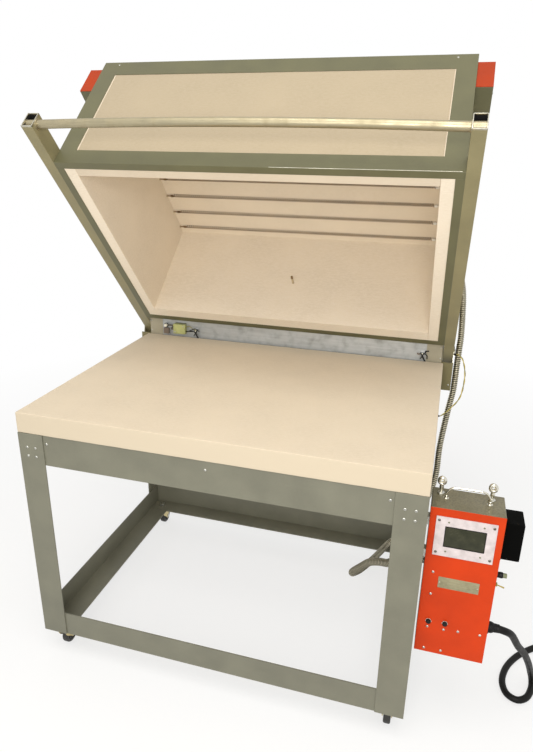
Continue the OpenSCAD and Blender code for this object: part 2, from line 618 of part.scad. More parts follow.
front_legs();
rear_legs();
top_front_rail();
top_rear_rail();
top_side_rails();
low_front_rail();
low_rear_rail();
low_side_rails();
frame_screws();
bed_main_board();
bed_side_board();
bed_bearers();
rear_plate();
pivot_brackets();
pivot_pins();
limit_switch();
lead_clips();
control_case();
control_front();
display_bezel();
display_glass();
nameplate();
panel_screws();
fuse_caps();
case_handle();
hanger_eyes();
side_box();
side_socket();
toggle_switch();
cord_gland();
toggle_lever();
stand_conduit();
hood_conduit();
case_connector();
hood_connector();
sensor_lead();
power_cord();
cord_coil();
power_plug();
hood_front_frame();
hood_rear_frame();
hood_side_frames();
hood_roof_frame();
front_board();
rear_board();
side_boards();
roof_board();
element_rows();
thermocouple();
terminal_covers();
lift_arms();
handle_bar();
caster_fork_fl();
caster_fork_fr();
caster_fork_rl();
caster_fork_rr();
caster_wheel_fl();
caster_wheel_fr();
caster_wheel_rl();
caster_wheel_rr();
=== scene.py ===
"""Looks of a lift-hood bench oven on a castered stand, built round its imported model.

Lengths in this file are millimetres in the oven's own drawing, whose x runs from the
middle of the bed, y from its front edge and z from the floor. SITE and HOOD carry a
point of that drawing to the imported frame, in metres.
"""
import json
import math

import bmesh
import bpy
from bpy.props import FloatProperty, FloatVectorProperty, PointerProperty
from mathutils import Matrix, Vector, noise


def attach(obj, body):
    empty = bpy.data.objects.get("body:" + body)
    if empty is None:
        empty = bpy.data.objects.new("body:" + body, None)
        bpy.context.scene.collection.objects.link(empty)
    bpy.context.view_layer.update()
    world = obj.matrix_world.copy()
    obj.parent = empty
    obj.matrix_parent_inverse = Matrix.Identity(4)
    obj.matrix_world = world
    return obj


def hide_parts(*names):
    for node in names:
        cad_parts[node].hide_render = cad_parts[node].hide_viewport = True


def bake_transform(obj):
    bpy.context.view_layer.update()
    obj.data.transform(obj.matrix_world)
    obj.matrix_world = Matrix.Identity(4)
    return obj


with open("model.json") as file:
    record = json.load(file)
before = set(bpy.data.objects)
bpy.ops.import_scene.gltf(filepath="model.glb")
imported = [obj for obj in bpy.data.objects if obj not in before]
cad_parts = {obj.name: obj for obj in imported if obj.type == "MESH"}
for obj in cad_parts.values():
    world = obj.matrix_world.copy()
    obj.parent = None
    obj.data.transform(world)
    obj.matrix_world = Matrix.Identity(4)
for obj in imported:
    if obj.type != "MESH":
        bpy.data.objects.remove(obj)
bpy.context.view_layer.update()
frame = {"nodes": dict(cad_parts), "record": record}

bl_info = {
    "name": "Bench oven looks",
    "version": (1, 0, 0),
    "blender": (4, 5, 0),
    "location": "View3D > Sidebar > Oven",
    "description": "Builds the looks of a lift-hood bench oven piece by piece",
    "category": "Object",
}

# ---- the drawing's places ----------------------------------------------------
OPEN_DEG = 49.0                       # how far the hood stands open at rest
OPEN = math.radians(OPEN_DEG)
PIV_Y, PIV_Z = 924.0, 925.0           # the hinge line
FRAME_X, FRAME_Y = -100.0, -601.296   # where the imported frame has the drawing's origin
SITE = Matrix.Scale(0.001, 4) @ Matrix.Translation((FRAME_X, FRAME_Y, 0))
HOOD = (SITE @ Matrix.Translation((0, PIV_Y, PIV_Z)) @ Matrix.Rotation(-OPEN, 4, "X")
        @ Matrix.Translation((0, -PIV_Y, -PIV_Z)))


def move(x, y, z):
    """A shift in the drawing."""
    return Matrix.Translation((x, y, z))


def turn(angle, axis):
    """A turn in degrees about an axis of the drawing."""
    return Matrix.Rotation(math.radians(angle), 4, axis)


FACING = turn(90, "X")      # a local +Z that points to -Y, towards the operator
SIDEWAYS = turn(90, "Y")    # a local +Z that points to +X

HX, BED_D = 600.0, 865.0              # half the bed's width, and its depth
BED_LOW, BED_TOP = 831.0, 896.0       # its lower and upper face
SEAM_X, SEAM_LAP = 345.0, 2.3         # the seam of its boards, and how far each one passes it
CASE_X0, CASE_X1 = 606.0, 791.0       # the control case's sides,
CASE_Y0, CASE_Y1 = 52.0, 157.0        # its front and back,
CASE_LOW, CASE_TOP = 308.0, 776.0     # and its bottom and top
ENTRY = Vector((CASE_X0, 120, 571))   # where the conduit enters it
ARM_IN, ARM_OUT = 596.0, 632.0        # a lift arm's inner and outer side,
ARM_LOW, ARM_TOP = 898.0, 952.0       # and its lower and upper one with the hood closed
CHEEK_IN, CHEEK_OUT = 592.5, 635.5    # a pivot bracket's cheeks
COVER_OUT = 643.0                     # a terminal cover's outer side


# ---- shader maths --------------------------------------------------------------
def add_node(tree, kind, settings, sockets):
    """A shader node: its settings come first, then each socket's value or link."""
    node = tree.nodes.new("ShaderNode" + kind)
    for key, value in settings.items():
        setattr(node, key, value)
    for key, value in sockets.items():
        if isinstance(value, Sock):
            tree.links.new(value.out, node.inputs[key])
        else:
            node.inputs[key].default_value = value
    return node


class Sock:
    """An output socket that takes arithmetic, so that shader maths reads as maths."""

    def __init__(self, tree, out):
        self.tree, self.out = tree, out

    def math(self, op, other):
        """A Math node of this value and another one."""
        node = add_node(self.tree, "Math", {"operation": op}, {0: self, 1: other})
        return Sock(self.tree, node.outputs[0])

    def __add__(self, o):
        return self.math("ADD", o)

    __radd__ = __add__

    def __mul__(self, o):
        return self.math("MULTIPLY", o)

    __rmul__ = __mul__

    def over(self, lo, hi, a=0.0, b=1.0):
        """This value's lo..hi carried to a..b, and held there outside."""
        node = add_node(self.tree, "MapRange", {}, {0: self, 1: lo, 2: hi, 3: a, 4: b})
        return Sock(self.tree, node.outputs[0])

    def mix(self, a, b):
        """Colour a where this is 0 and b where it is 1."""
        ends = {key: c if isinstance(c, Sock) else (*c, 1) for key, c in ((6, a), (7, b))}
        node = add_node(self.tree, "Mix", {"data_type": "RGBA"}, {0: self, **ends})
        return Sock(self.tree, node.outputs[2])


def rgb(r, g, b):
    """A screen colour, 0 to 255, as the light it stands for."""
    return tuple(c / 255 / 12.92 if c <= 10 else ((c / 255 + 0.055) / 1.055) ** 2.4 for c in (r, g, b))


def shade(c, k):
    """A colour k times as bright."""
    return tuple(min(1, v * k) for v in c)


def stained(c, by, k):
    """A colour with each channel changed by its own share, then made k times as bright."""
    return shade(tuple(v * share for v, share in zip(c, by)), k)


EVEN = (1, 1, 1)


class Surface:
    """One material: a Principled shader and the patterns that feed it."""

    def __init__(self, name, rough=0.5, metal=0.0, **fixed):
        self.mat = bpy.data.materials.new(name)
        self.mat.use_nodes = True
        self.tree = self.mat.node_tree
        self.shader = self.tree.nodes["Principled BSDF"]
        self.set("Roughness", rough)
        self.set("Metallic", metal)
        for key, value in fixed.items():
            self.set(key.replace("_", " "), value)
        self.place = self.made("TexCoord", "Object", {}, {})

    def set(self, key, value):
        """A constant on the shader's own socket, or a pattern linked to it."""
        if isinstance(value, Sock):
            self.tree.links.new(value.out, self.shader.inputs[key])
        elif isinstance(value, (tuple, list)):
            self.shader.inputs[key].default_value = (*value, 1)
        else:
            self.shader.inputs[key].default_value = value

    def made(self, kind, output, settings, sockets):
        """One output of a new node."""
        return Sock(self.tree, add_node(self.tree, kind, settings, sockets).outputs[output])

    def where(self, stretch, tilt):
        """Object coordinates, stretched, and turned back to the closed hood for tilted pieces."""
        place = self.place
        if tilt:
            place = self.made("Mapping", 0, {}, {0: place, "Rotation": (OPEN, 0, 0)})
        if tilt or stretch != EVEN:
            place = self.made("Mapping", 0, {}, {0: place, "Scale": stretch})
        return place

    def noise(self, size, detail=2.0, stretch=EVEN, tilt=False, rough=0.5):
        """Cloudy noise, 0 to 1, whose patches are about size millimetres."""
        return self.made("TexNoise", "Fac", {}, {"Scale": 1000 / size, "Detail": detail,
                                                 "Roughness": rough, "Vector": self.where(stretch, tilt)})

    def cells(self, size, feature="F1", stretch=EVEN, tilt=False):
        """Distance in cells about size millimetres wide."""
        return self.made("TexVoronoi", "Distance", {"feature": feature},
                         {"Scale": 1000 / size, "Vector": self.where(stretch, tilt)})

    def axis(self, letter):
        """One of the object coordinates, in millimetres."""
        return self.made("SeparateXYZ", letter, {}, {0: self.where((1000, 1000, 1000), False)})

    def bump(self, height, depth, strength=1.0):
        """Relief depth millimetres high."""
        self.set("Normal", self.made("Bump", 0, {}, {"Strength": strength, "Distance": depth / 1000,
                                                     "Height": height}))


def board(name, tint, tilt, front=None):
    """Vacuum-formed fibre board: cream, matte, with fine fibres, pores and faint stains.
    A face that looks to -Y at the front value, in millimetres, is made a little darker: painted shade that
    tones down the lamps' light on it."""
    s = Surface(name, 0.93, Sheen_Weight=0.12, Sheen_Roughness=0.6, Specular_IOR_Level=0.25)
    warm, brown, pit = ((1, 1.01, 1.05), 1.04), ((1, 0.93, 0.82), 0.86), ((1, 0.9, 0.75), 0.72)
    fine = s.noise(2.2, 3, tilt=tilt)
    fibre = s.noise(5, 3, (0.35, 1.6, 1), tilt, 0.65)
    cloud = s.noise(140, 2, tilt=tilt)
    pores = s.cells(7, tilt=tilt)
    base = cloud.over(0.3, 0.7).mix(shade(tint, 0.94), shade(tint, 1.03))
    base = fibre.over(0.35, 0.68).mix(base, stained(tint, *warm))
    base = (fine.over(0.52, 0.72) * 0.30).mix(base, stained(tint, *brown))
    base = (pores.over(0.0, 0.16, 1, 0) * 0.35).mix(base, stained(tint, *pit))
    # Painted shade: the front face is darkened to 85 per cent against the strong lamp light on it.
    if front is not None:
        base = s.axis("Y").over(front + 0.6, front + 1.8, 1, 0).mix(base, shade(tint, 0.85))
    s.set("Base Color", base)
    s.set("Roughness", fine.over(0.3, 0.7, 0.86, 0.97))
    s.bump(fine * 0.5 + fibre * 0.8 + pores.over(0, 0.2) * 0.4, 0.35, 0.55)
    return s.mat


def paint(name, tint, rough=0.42, peel=0.05, tilt=False, speck=0.12, scuff=0.25, gloss=0.4):
    """Enamel on sheet steel: faint orange peel, dust specks, cloudy wear and a few scuffs."""
    s = Surface(name, rough, Specular_IOR_Level=gloss)
    peelv = s.noise(3.2, 1, tilt=tilt)
    cloud = s.noise(90, 3, tilt=tilt)
    grit = s.noise(1.6, 2, tilt=tilt)
    rub = s.noise(60, 5, (0.25, 1, 1.6), tilt, 0.7)
    base = cloud.over(0.3, 0.7).mix(shade(tint, 0.90), shade(tint, 1.08))
    base = (grit.over(0.5, 0.75) * speck).mix(base, shade(tint, 1.9))
    base = (rub.over(0.6, 0.78) * scuff).mix(base, shade(tint, 1.35))
    s.set("Base Color", base)
    s.set("Roughness", cloud.over(0.3, 0.7, rough - 0.06, rough + 0.1) + rub.over(0.55, 0.8) * 0.08)
    s.bump(peelv + grit * 0.35, peel, 0.6)
    return s.mat


def metal(name, tint, rough=0.3, grain=(1, 1, 1), size=6.0, depth=0.02, dirt=0.25, tilt=False):
    """Bare or plated metal with drawn or rolled grain, smudges and dull patches."""
    s = Surface(name, rough, 1.0)
    lines = s.noise(size, 4, grain, tilt, 0.7)
    smudge = s.noise(35, 3, tilt=tilt)
    base = lines.over(0.3, 0.7).mix(shade(tint, 0.86), shade(tint, 1.06))
    base = (smudge.over(0.5, 0.75) * dirt).mix(base, stained(tint, (1, 0.92, 0.78), 0.55))
    s.set("Base Color", base)
    s.set("Roughness", smudge.over(0.35, 0.75, rough - 0.05, rough + 0.2) + lines * 0.05)
    s.bump(lines, depth, 0.5)
    return s.mat


def plastic(name, tint, rough=0.5, grain=0.8, depth=0.03, **fixed):
    """Moulded plastic or rubber with a fine grain and slight wear."""
    s = Surface(name, rough, **fixed)
    fine = s.noise(grain, 2)
    wear = s.noise(25, 4, rough=0.6)
    base = wear.over(0.35, 0.75).mix(shade(tint, 0.9), shade(tint, 1.25))
    base = (fine.over(0.55, 0.8) * 0.2).mix(base, shade(tint, 1.5))
    s.set("Base Color", base)
    s.set("Roughness", wear.over(0.3, 0.7, rough - 0.07, rough + 0.1))
    s.bump(fine + wear * 0.4, depth, 0.6)
    return s.mat


def hammer(name, tint):
    """Hammered enamel: small shallow dimples with lighter rims."""
    s = Surface(name, 0.4, 0.25, Coat_Weight=0.1, Coat_Roughness=0.25)
    dimple = s.cells(4.2, "SMOOTH_F1")
    cloud = s.noise(50, 3)
    base = dimple.over(0.1, 0.55).mix(shade(tint, 0.82), shade(tint, 1.25))
    base = (cloud.over(0.45, 0.75) * 0.35).mix(base, shade(tint, 0.75))
    s.set("Base Color", base)
    s.set("Roughness", cloud.over(0.3, 0.7, 0.34, 0.52))
    s.bump(dimple, 0.35, 0.6)
    return s.mat


def oxide_wire(name):
    """Resistance wire, brown with oxide and paler where it has glowed."""
    s = Surface(name, 0.6, 0.55)
    patch = s.noise(30, 3)
    fine = s.noise(2, 2)
    base = patch.over(0.3, 0.7).mix(rgb(92, 70, 44), rgb(158, 130, 90))
    s.set("Base Color", (fine.over(0.5, 0.75) * 0.4).mix(base, rgb(66, 48, 32)))
    s.set("Roughness", fine.over(0.3, 0.7, 0.5, 0.75))
    s.bump(fine, 0.05, 0.5)
    return s.mat


def woven(name, tint):
    """A braided sleeve: two sets of strands that cross."""
    s = Surface(name, 0.75)
    strands = s.cells(1.5, stretch=(1, 1, 1.4))
    cloud = s.noise(20, 2)
    base = strands.over(0.1, 0.6).mix(shade(tint, 1.15), shade(tint, 0.55))
    s.set("Base Color", (cloud.over(0.4, 0.7) * 0.3).mix(base, shade(tint, 0.7)))
    s.set("Roughness", strands.over(0, 0.6, 0.65, 0.85))
    s.bump(strands * -1.0, 0.25, 0.8)
    return s.mat


def screen(name):
    """An unlit liquid crystal display: dark green grey behind a grid of fine cells."""
    s = Surface(name, 0.3, Specular_IOR_Level=0.25)
    cells = s.cells(2.4)
    cloud = s.noise(26, 2)
    base = cloud.over(0.35, 0.7).mix(rgb(44, 46, 30), rgb(62, 62, 44))
    s.set("Base Color", (cells.over(0.2, 0.6) * 0.25).mix(base, rgb(36, 38, 26)))
    s.set("Roughness", cloud.over(0.3, 0.7, 0.18, 0.3))
    s.bump(cells, 0.02, 0.3)
    return s.mat


def plate(name):
    """A blank, dull aluminium nameplate, brushed and stained, with nothing on it."""
    s = Surface(name, 0.5, 0.35)
    lines = s.noise(4, 4, (0.12, 1, 2.5), rough=0.75)
    stain = s.noise(14, 3)
    base = lines.over(0.3, 0.7).mix(rgb(134, 128, 98), rgb(168, 162, 132))
    s.set("Base Color", (stain.over(0.45, 0.7) * 0.4).mix(base, rgb(116, 108, 80)))
    s.set("Roughness", stain.over(0.3, 0.7, 0.42, 0.62))
    s.bump(lines, 0.04, 0.5)
    return s.mat


MAT = {}


def make_materials(s):
    """Every finish in the scene, by name."""
    M = MAT
    # Painted shade on the bed's front face, through board's front value.
    M["bed"] = board("bed_board", s.bed_tint, False, FRAME_Y)
    # Painted light and shade: these are one fibre board. The lining is tinted lighter than the bed as
    # painted light for the dim inside of the hood. The outward front face is much darker, as painted shade
    # where the lamps light it strongly. The edge tint lies between them.
    M["board"] = board("hood_board", s.board_tint, True)
    M["lip"] = board("hood_board_edge", (0.68, 0.58, 0.44), True)
    M["panel"] = board("front_panel_board_painted_shade", (0.45, 0.37, 0.25), True)
    M["frame"] = paint("stand_enamel", s.stand_tint)
    M["hood"] = paint("hood_enamel", s.hood_tint, tilt=True)
    M["arm"] = paint("arm_enamel", s.arm_tint, 0.38, tilt=True)
    M["bracket"] = paint("bracket_enamel", rgb(124, 116, 82), 0.42)
    M["orange"] = paint("orange_enamel", s.case_tint, 0.4, 0.06, speck=0.05, scuff=0.08, gloss=0.15)
    M["end"] = paint("cover_end_enamel", rgb(168, 58, 20), 0.5, 0.06, speck=0.1, scuff=0.12, gloss=0.2)
    M["hammer"] = hammer("hammered_enamel", s.shell_tint)
    M["zinc"] = metal("zinc_plate", rgb(205, 204, 196), 0.28, size=4)
    M["dark_steel"] = metal("dark_screw", rgb(120, 116, 106), 0.35, size=3)
    M["chrome"] = metal("bright_chrome", rgb(222, 218, 204), 0.1, size=10, depth=0.005, dirt=0.15)
    M["bar"] = metal("drawn_tube", rgb(176, 166, 138), 0.4, (0.06, 1, 1), 5, 0.02, 0.2)
    M["rolled"] = metal("rolled_steel", rgb(190, 192, 191), 0.55, (0.05, 1, 1), 8, 0.03, 0.3)
    # Bare metal on the lift arms' cut ends. On the hinge brackets' outer edges and the hood front's thin rod
    # it is a painted highlight.
    M["edge"] = metal("cut_edge_and_painted_highlight", rgb(200, 196, 180), 0.3, size=5)
    M["conduit"] = metal("conduit_strip", rgb(216, 208, 182), 0.38, size=3, dirt=0.2)
    M["fork"] = metal("yellow_zinc", rgb(204, 188, 140), 0.34, size=4, dirt=0.3)
    M["brass"] = metal("worn_brass", rgb(186, 164, 96), 0.3, size=4, dirt=0.4)
    M["wire"] = oxide_wire("element_wire")
    M["tail"] = plastic("bright_tail", rgb(250, 247, 236), 0.25)
    M["sleeve"] = woven("woven_sleeve", rgb(176, 168, 104))
    M["yellow_lead"] = plastic("thin_lead", rgb(206, 186, 104), 0.5)
    M["bezel"] = plastic("bezel_plastic", rgb(200, 190, 190), 0.5, 1.2, 0.02)
    M["black"] = plastic("black_plastic", rgb(14, 13, 12), 0.5, Specular_IOR_Level=0.25)
    M["box"] = plastic("black_box", rgb(6, 6, 5), 0.7, 1.4, 0.06, Specular_IOR_Level=0.04)
    M["tip"] = plastic("socket_tip", rgb(118, 122, 92), 0.4)
    M["rubber"] = plastic("cord_rubber", rgb(14, 13, 11), 0.5, 1.0, 0.03, Specular_IOR_Level=0.2)
    M["tie"] = plastic("cable_tie", rgb(196, 192, 180), 0.45)
    M["wheel"] = plastic("hard_rubber", rgb(38, 37, 34), 0.5, 1.2, 0.05)
    M["switch"] = plastic("switch_green", rgb(176, 178, 118), 0.55, 1.2, 0.04)
    M["roller"] = plastic("pale_roller", rgb(236, 230, 212), 0.3)
    # Painted shadow: a brown-grey block below the limit switch's roller stands for the shade there. One
    # lead-clip strand takes the same brown.
    M["slot"] = paint("painted_shadow_brown", rgb(118, 104, 92), 0.5)
    M["flange"] = paint("bracket_flange", rgb(168, 160, 138), 0.45)
    # Painted shade: dark olive paint on the conduit's groove faces, standing for the shade between its ribs.
    M["groove"] = paint("conduit_groove_painted_shade", rgb(52, 49, 34), 0.6)
    M["clip"] = plastic("dark_clip", rgb(52, 56, 48), 0.4)
    M["ceramic"] = plastic("ceramic_sheath", rgb(196, 178, 146), 0.6, 1.0, 0.04)
    M["bore"] = plastic("shadowed_bore", rgb(14, 13, 12), 0.7)
    M["screen"] = screen("display_screen")
    M["plate"] = plate("blank_plate")


# ---- mesh making ---------------------------------------------------------------
def curve(points, per):
    """A smooth line through the points, with per steps between each two."""
    p = [Vector(q) for q in points]
    out = []
    for i in range(len(p) - 1):
        a, b, c, d = p[max(i - 1, 0)], p[i], p[i + 1], p[min(i + 2, len(p) - 1)]
        for k in range(per):
            t = k / per
            out.append(0.5 * (2 * b + (c - a) * t + (2 * a - 5 * b + 4 * c - d) * t * t
                              + (3 * b - a - 3 * c + d) * t ** 3))
    return out + [p[-1]]


def length_of(path):
    """The length of a line of points."""
    return sum((b - a).length for a, b in zip(path, path[1:]))


def spaced(path, step):
    """The same line with its points a fixed step apart."""
    total, out, walked, i = length_of(path), [path[0].copy()], 0.0, 0
    n = max(1, round(total / step))
    for k in range(1, n):
        goal = total * k / n
        while walked + (path[i + 1] - path[i]).length < goal:
            walked += (path[i + 1] - path[i]).length
            i += 1
        seg = path[i + 1] - path[i]
        out.append(path[i] + seg * ((goal - walked) / seg.length))
    return out + [path[-1].copy()]


class Build:
    """Gathers the parts of one piece, in the drawing's millimetres, each with its finish."""

    def __init__(self, at=SITE):
        self.bm, self.at, self.mats = bmesh.new(), at, []

    def index(self, mat):
        """The slot of a finish in this piece, made when it is first asked for."""
        if mat not in self.mats:
            self.mats.append(mat)
        return self.mats.index(mat)

    def take(self, part, mat, place=None):
        """Adds a finished part and frees it."""
        if place is not None:
            part.transform(place)
        m, made = self.index(mat), [self.bm.verts.new(v.co) for v in part.verts]
        part.verts.index_update()
        for f in part.faces:
            self.bm.faces.new([made[v.index] for v in f.verts]).material_index = m
        part.free()
        return self

    def box(self, lo, hi, mat, r=1.0, seg=2, place=None):
        """A block with rounded edges."""
        p = bmesh.new()
        bmesh.ops.create_cube(p, size=1)
        lo, hi = Vector(lo), Vector(hi)
        bmesh.ops.scale(p, vec=hi - lo, verts=p.verts)
        bmesh.ops.translate(p, vec=(lo + hi) / 2, verts=p.verts)
        if r:
            bmesh.ops.bevel(p, geom=p.edges[:], offset=min(r, min(hi - lo) * 0.45), segments=seg,
                            profile=0.5, affect="EDGES", material=-1)
        return self.take(p, mat, place)

    def slab(self, lo, hi, mat, r=3.0, step=14.0, wob=0.3, seed=0.0):
        """A board: rounded corners and faces that are very slightly uneven."""
        p = bmesh.new()
        lo, hi = Vector(lo), Vector(hi)

        def cuts(a, b):
            """Where the faces are cut between a and b: close together at the rounded ends."""
            n = max(1, round((b - a - 2 * r) / step))
            flat = [a + r + (b - a - 2 * r) * k / n for k in range(1, n)]
            return [a, a + r * 0.35, a + r, *flat, b - r, b - r * 0.35, b]
        grid = [cuts(lo[i], hi[i]) for i in range(3)]
        seen = {}

        def vert(c):
            """The shared vertex at a grid place, rounded at the edges and slightly uneven."""
            key = tuple(round(x, 4) for x in c)
            if key not in seen:
                c = Vector(c)
                core = Vector([min(max(c[i], lo[i] + r), hi[i] - r) for i in range(3)])
                out = (c - core).normalized() if (c - core).length > 1e-6 else Vector()
                wave = noise.fractal(c / 45 + Vector((seed, 0, 0)), 1.0, 2.0, 3)
                at_edge = sum(abs(v) > 0.2 for v in out) > 1
                rag = noise.noise(c / 7 + Vector((0, seed, 0))) * wob * 0.8 if at_edge else 0
                seen[key] = p.verts.new(core + out * (r + (wave - 0.5) * wob - abs(rag)))
            return seen[key]
        for ax in range(3):
            u, w = [i for i in range(3) if i != ax]
            for side in (0, -1):
                for a, b in zip(grid[u], grid[u][1:]):
                    for c, d in zip(grid[w], grid[w][1:]):
                        quad = []
                        for s, t in ((a, c), (b, c), (b, d), (a, d)):
                            q = [0, 0, 0]
                            q[ax], q[u], q[w] = grid[ax][side], s, t
                            quad.append(vert(q))
                        p.faces.new(quad)
        return self.take(p, mat)

    def lathe(self, profile, mat, n=32, place=None):
        """A turned part: (radius, height) pairs round the local Z."""
        p = bmesh.new()
        points = [p.verts.new((rad, 0, h)) for rad, h in profile]
        edges = [p.edges.new(pair) for pair in zip(points, points[1:])]
        bmesh.ops.spin(p, geom=points + edges, cent=(0, 0, 0), axis=(0, 0, 1), angle=2 * math.pi,
                       steps=n, use_merge=True)
        bmesh.ops.remove_doubles(p, verts=p.verts, dist=1e-4)
        bmesh.ops.holes_fill(p, edges=[e for e in p.edges if e.is_boundary], sides=0)
        return self.take(p, mat, place)

    def prism(self, outline, h, mat, r=0.0, seg=2, place=None):
        """An outline in the local XY plane, h thick, with rounded edges."""
        p = bmesh.new()
        low = [p.verts.new((x, y, 0)) for x, y in outline]
        face = p.faces.new(low)
        top = bmesh.ops.extrude_face_region(p, geom=[face])["geom"]
        bmesh.ops.translate(p, vec=(0, 0, h), verts=[v for v in top if isinstance(v, bmesh.types.BMVert)])
        bmesh.ops.recalc_face_normals(p, faces=p.faces)
        if r:
            bmesh.ops.bevel(p, geom=[e for e in p.edges if e.calc_face_angle(0) > 0.35], offset=r,
                            segments=seg, profile=0.5, affect="EDGES", material=-1)
        return self.take(p, mat, place)

    def tube(self, path, rad, mat, n=12, closed=False, wide=1.0, place=None):
        """A round bar along a line; rad may be a list, and wide stretches the section sideways."""
        p = bmesh.new()
        pts = [Vector(q) for q in path]
        m, rings, side = len(pts), [], None
        for i, q in enumerate(pts):
            a = pts[i - 1] if i or closed else q
            b = pts[(i + 1) % m] if i < m - 1 or closed else q
            t = (b - a).normalized()
            if side is None:
                side = t.cross((0, 0, 1)) if abs(t.z) < 0.9 else t.cross((1, 0, 0))
            side = (side - t * side.dot(t)).normalized()
            up = t.cross(side)
            r = rad[i] if hasattr(rad, "__len__") else rad
            rings.append([p.verts.new(q + (side * wide * math.cos(2 * math.pi * k / n)
                                           + up * math.sin(2 * math.pi * k / n)) * r) for k in range(n)])
        pairs = list(zip(rings, rings[1:])) + ([(rings[-1], rings[0])] if closed else [])
        for a, b in pairs:
            for k in range(n):
                p.faces.new((a[k], a[(k + 1) % n], b[(k + 1) % n], b[k]))
        if not closed:
            p.faces.new(rings[0])
            p.faces.new(rings[-1])
        return self.take(p, mat, place)

    def hexagon(self, across, h, mat, place=None, r=0.5):
        """A nut or bolt head, across its flats."""
        k = across / math.sqrt(3)
        return self.prism([(k * math.cos(math.pi * i / 3), k * math.sin(math.pi * i / 3))
                           for i in range(6)], h, mat, r, 2, place)

    def screw(self, d, place, mat="zinc", slot="cross"):
        """A domed screw head that faces its local +Z, with its drive recess."""
        h = d * 0.27
        self.lathe([(d * 0.5, 0), (d * 0.5, h * 0.25), (d * 0.42, h * 0.62), (d * 0.25, h * 0.92),
                    (0, h)], mat, 20, place)
        arms = ((0.32, 0.06), (0.06, 0.32)) if slot == "cross" else ((0.4, 0.06),)
        for a, b in arms:
            self.box((-d * a, -d * b, h * 0.5), (d * a, d * b, h * 0.965), "bore", 0, place=place)
        return self

    def done(self, name, body=None, over=(), angle=40, even=False):
        """Ends the piece: its mesh, finishes, body and the CAD nodes that it stands for."""
        bm = self.bm
        bm.transform(self.at)
        bmesh.ops.recalc_face_normals(bm, faces=bm.faces)
        me = bpy.data.meshes.new(name)
        bm.to_mesh(me)
        bm.free()
        for m in self.mats:
            me.materials.append(MAT[m])
        me.shade_smooth()
        me.set_sharp_from_angle(angle=math.radians(angle))
        ob = bpy.data.objects.new(name, me)
        bpy.context.scene.collection.objects.link(ob)
        if even:
            mod = ob.modifiers.new("even_normals", "WEIGHTED_NORMAL")
            mod.keep_sharp = True
            with bpy.context.temp_override(object=ob, active_object=ob, selected_objects=[ob]):
                bpy.ops.object.modifier_apply(modifier=mod.name)
        if body:
            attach(ob, body)
        if over:
            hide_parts(*over)
        return ob


def dress(name, node, mat, body, r=1.2, picks=(), splits=()):
    """A piece with a CAD node's shape, its edges rounded, and picked faces in another finish.
    A pick is (test, finish), and its test takes a face's normal and centre in the drawing.
    Faces are first cut at each x in splits."""
    b = Build(Matrix.Identity(4))
    bm, back = b.bm, (HOOD if body == "hood" else SITE).inverted()
    bm.from_mesh(frame["nodes"][node].data)
    bmesh.ops.remove_doubles(bm, verts=bm.verts, dist=1e-6)
    bmesh.ops.dissolve_limit(bm, angle_limit=0.01, verts=bm.verts, edges=bm.edges)
    for x in splits:
        bmesh.ops.bisect_plane(bm, geom=[*bm.verts, *bm.edges, *bm.faces],
                               plane_co=back.inverted() @ Vector((x, 0, 0)), plane_no=(1, 0, 0))
    b.index(mat)
    for f in bm.faces:
        f.material_index = 0
        n = (back.to_3x3() @ f.normal).normalized()
        c = back @ f.calc_center_median()
        for test, other in picks:
            if test(n, c):
                f.material_index = b.index(other)
    if r:
        bmesh.ops.bevel(bm, geom=[e for e in bm.edges if e.is_manifold and e.calc_face_angle(0) > 0.6],
                        offset=r / 1000, segments=2, profile=0.5, affect="EDGES", clamp_overlap=True,
                        material=-1)
    return b.done(name, body, (node,), even=True)


# ---- stage ------------------------------------------------------------------------
CAM_AT = (0.4822, -1.9931, 1.6467)
CAM_YAW, CAM_PITCH, CAM_ROLL = (math.radians(a) for a in (-16.3508, 20.5799, 0.7532))
SENSOR = 36.0                     # millimetres across the view's longer side
VIEW_PX, FOCAL_PX = 752, 618.8634   # that side and the focal length, in the view's pixels


def make_camera():
    """The camera, at standing eye height in front of the oven and to its right."""
    cp, sp, cy, sy = math.cos(CAM_PITCH), math.sin(CAM_PITCH), math.cos(CAM_YAW), math.sin(CAM_YAW)
    fwd = Vector((sy * cp, cy * cp, -sp))
    right = Vector((cy, -sy, 0))
    up = right.cross(fwd)
    c, s = math.cos(CAM_ROLL), math.sin(CAM_ROLL)
    x, y = right * c + up * s, up * c - right * s
    cam = bpy.data.cameras.new("view")
    cam.sensor_fit, cam.sensor_width, cam.lens = "AUTO", SENSOR, FOCAL_PX * SENSOR / VIEW_PX
    cam.clip_start, cam.clip_end = 0.01, 200
    ob = bpy.data.objects.new("view", cam)
    ob.matrix_world = Matrix(((x.x, y.x, -fwd.x, CAM_AT[0]), (x.y, y.y, -fwd.y, CAM_AT[1]),
                              (x.z, y.z, -fwd.z, CAM_AT[2]), (0, 0, 0, 1)))
    bpy.context.scene.collection.objects.link(ob)
    bpy.context.scene.camera = ob


def soft_light(name, at, aim, size, watts, tint):
    """A square lamp that faces its aim."""
    data = bpy.data.lights.new(name, "AREA")
    data.shape, data.size, data.energy, data.color = "SQUARE", size, watts, tint
    ob = bpy.data.objects.new(name, data)
    ob.location = at
    ob.rotation_euler = (Vector(aim) - Vector(at)).to_track_quat("-Z", "Y").to_euler()
    bpy.context.scene.collection.objects.link(ob)


def looked_at(tree):
    """1 for rays from the camera, a mirror or a clear piece, and 0 for rays that only carry light."""
    path = add_node(tree, "LightPath", {}, {})
    camera, glossy, clear = (Sock(tree, path.outputs[f"Is {kind} Ray"])
                             for kind in ("Camera", "Glossy", "Transmission"))
    return camera + glossy + clear


def shown(tree, share, lit, seen):
    """The lit shader, mixed by share with the one that the viewer is shown."""
    return add_node(tree, "MixShader", {}, {0: share, 1: Sock(tree, lit.outputs[0]),
                                            2: Sock(tree, seen.outputs[0])}).outputs[0]


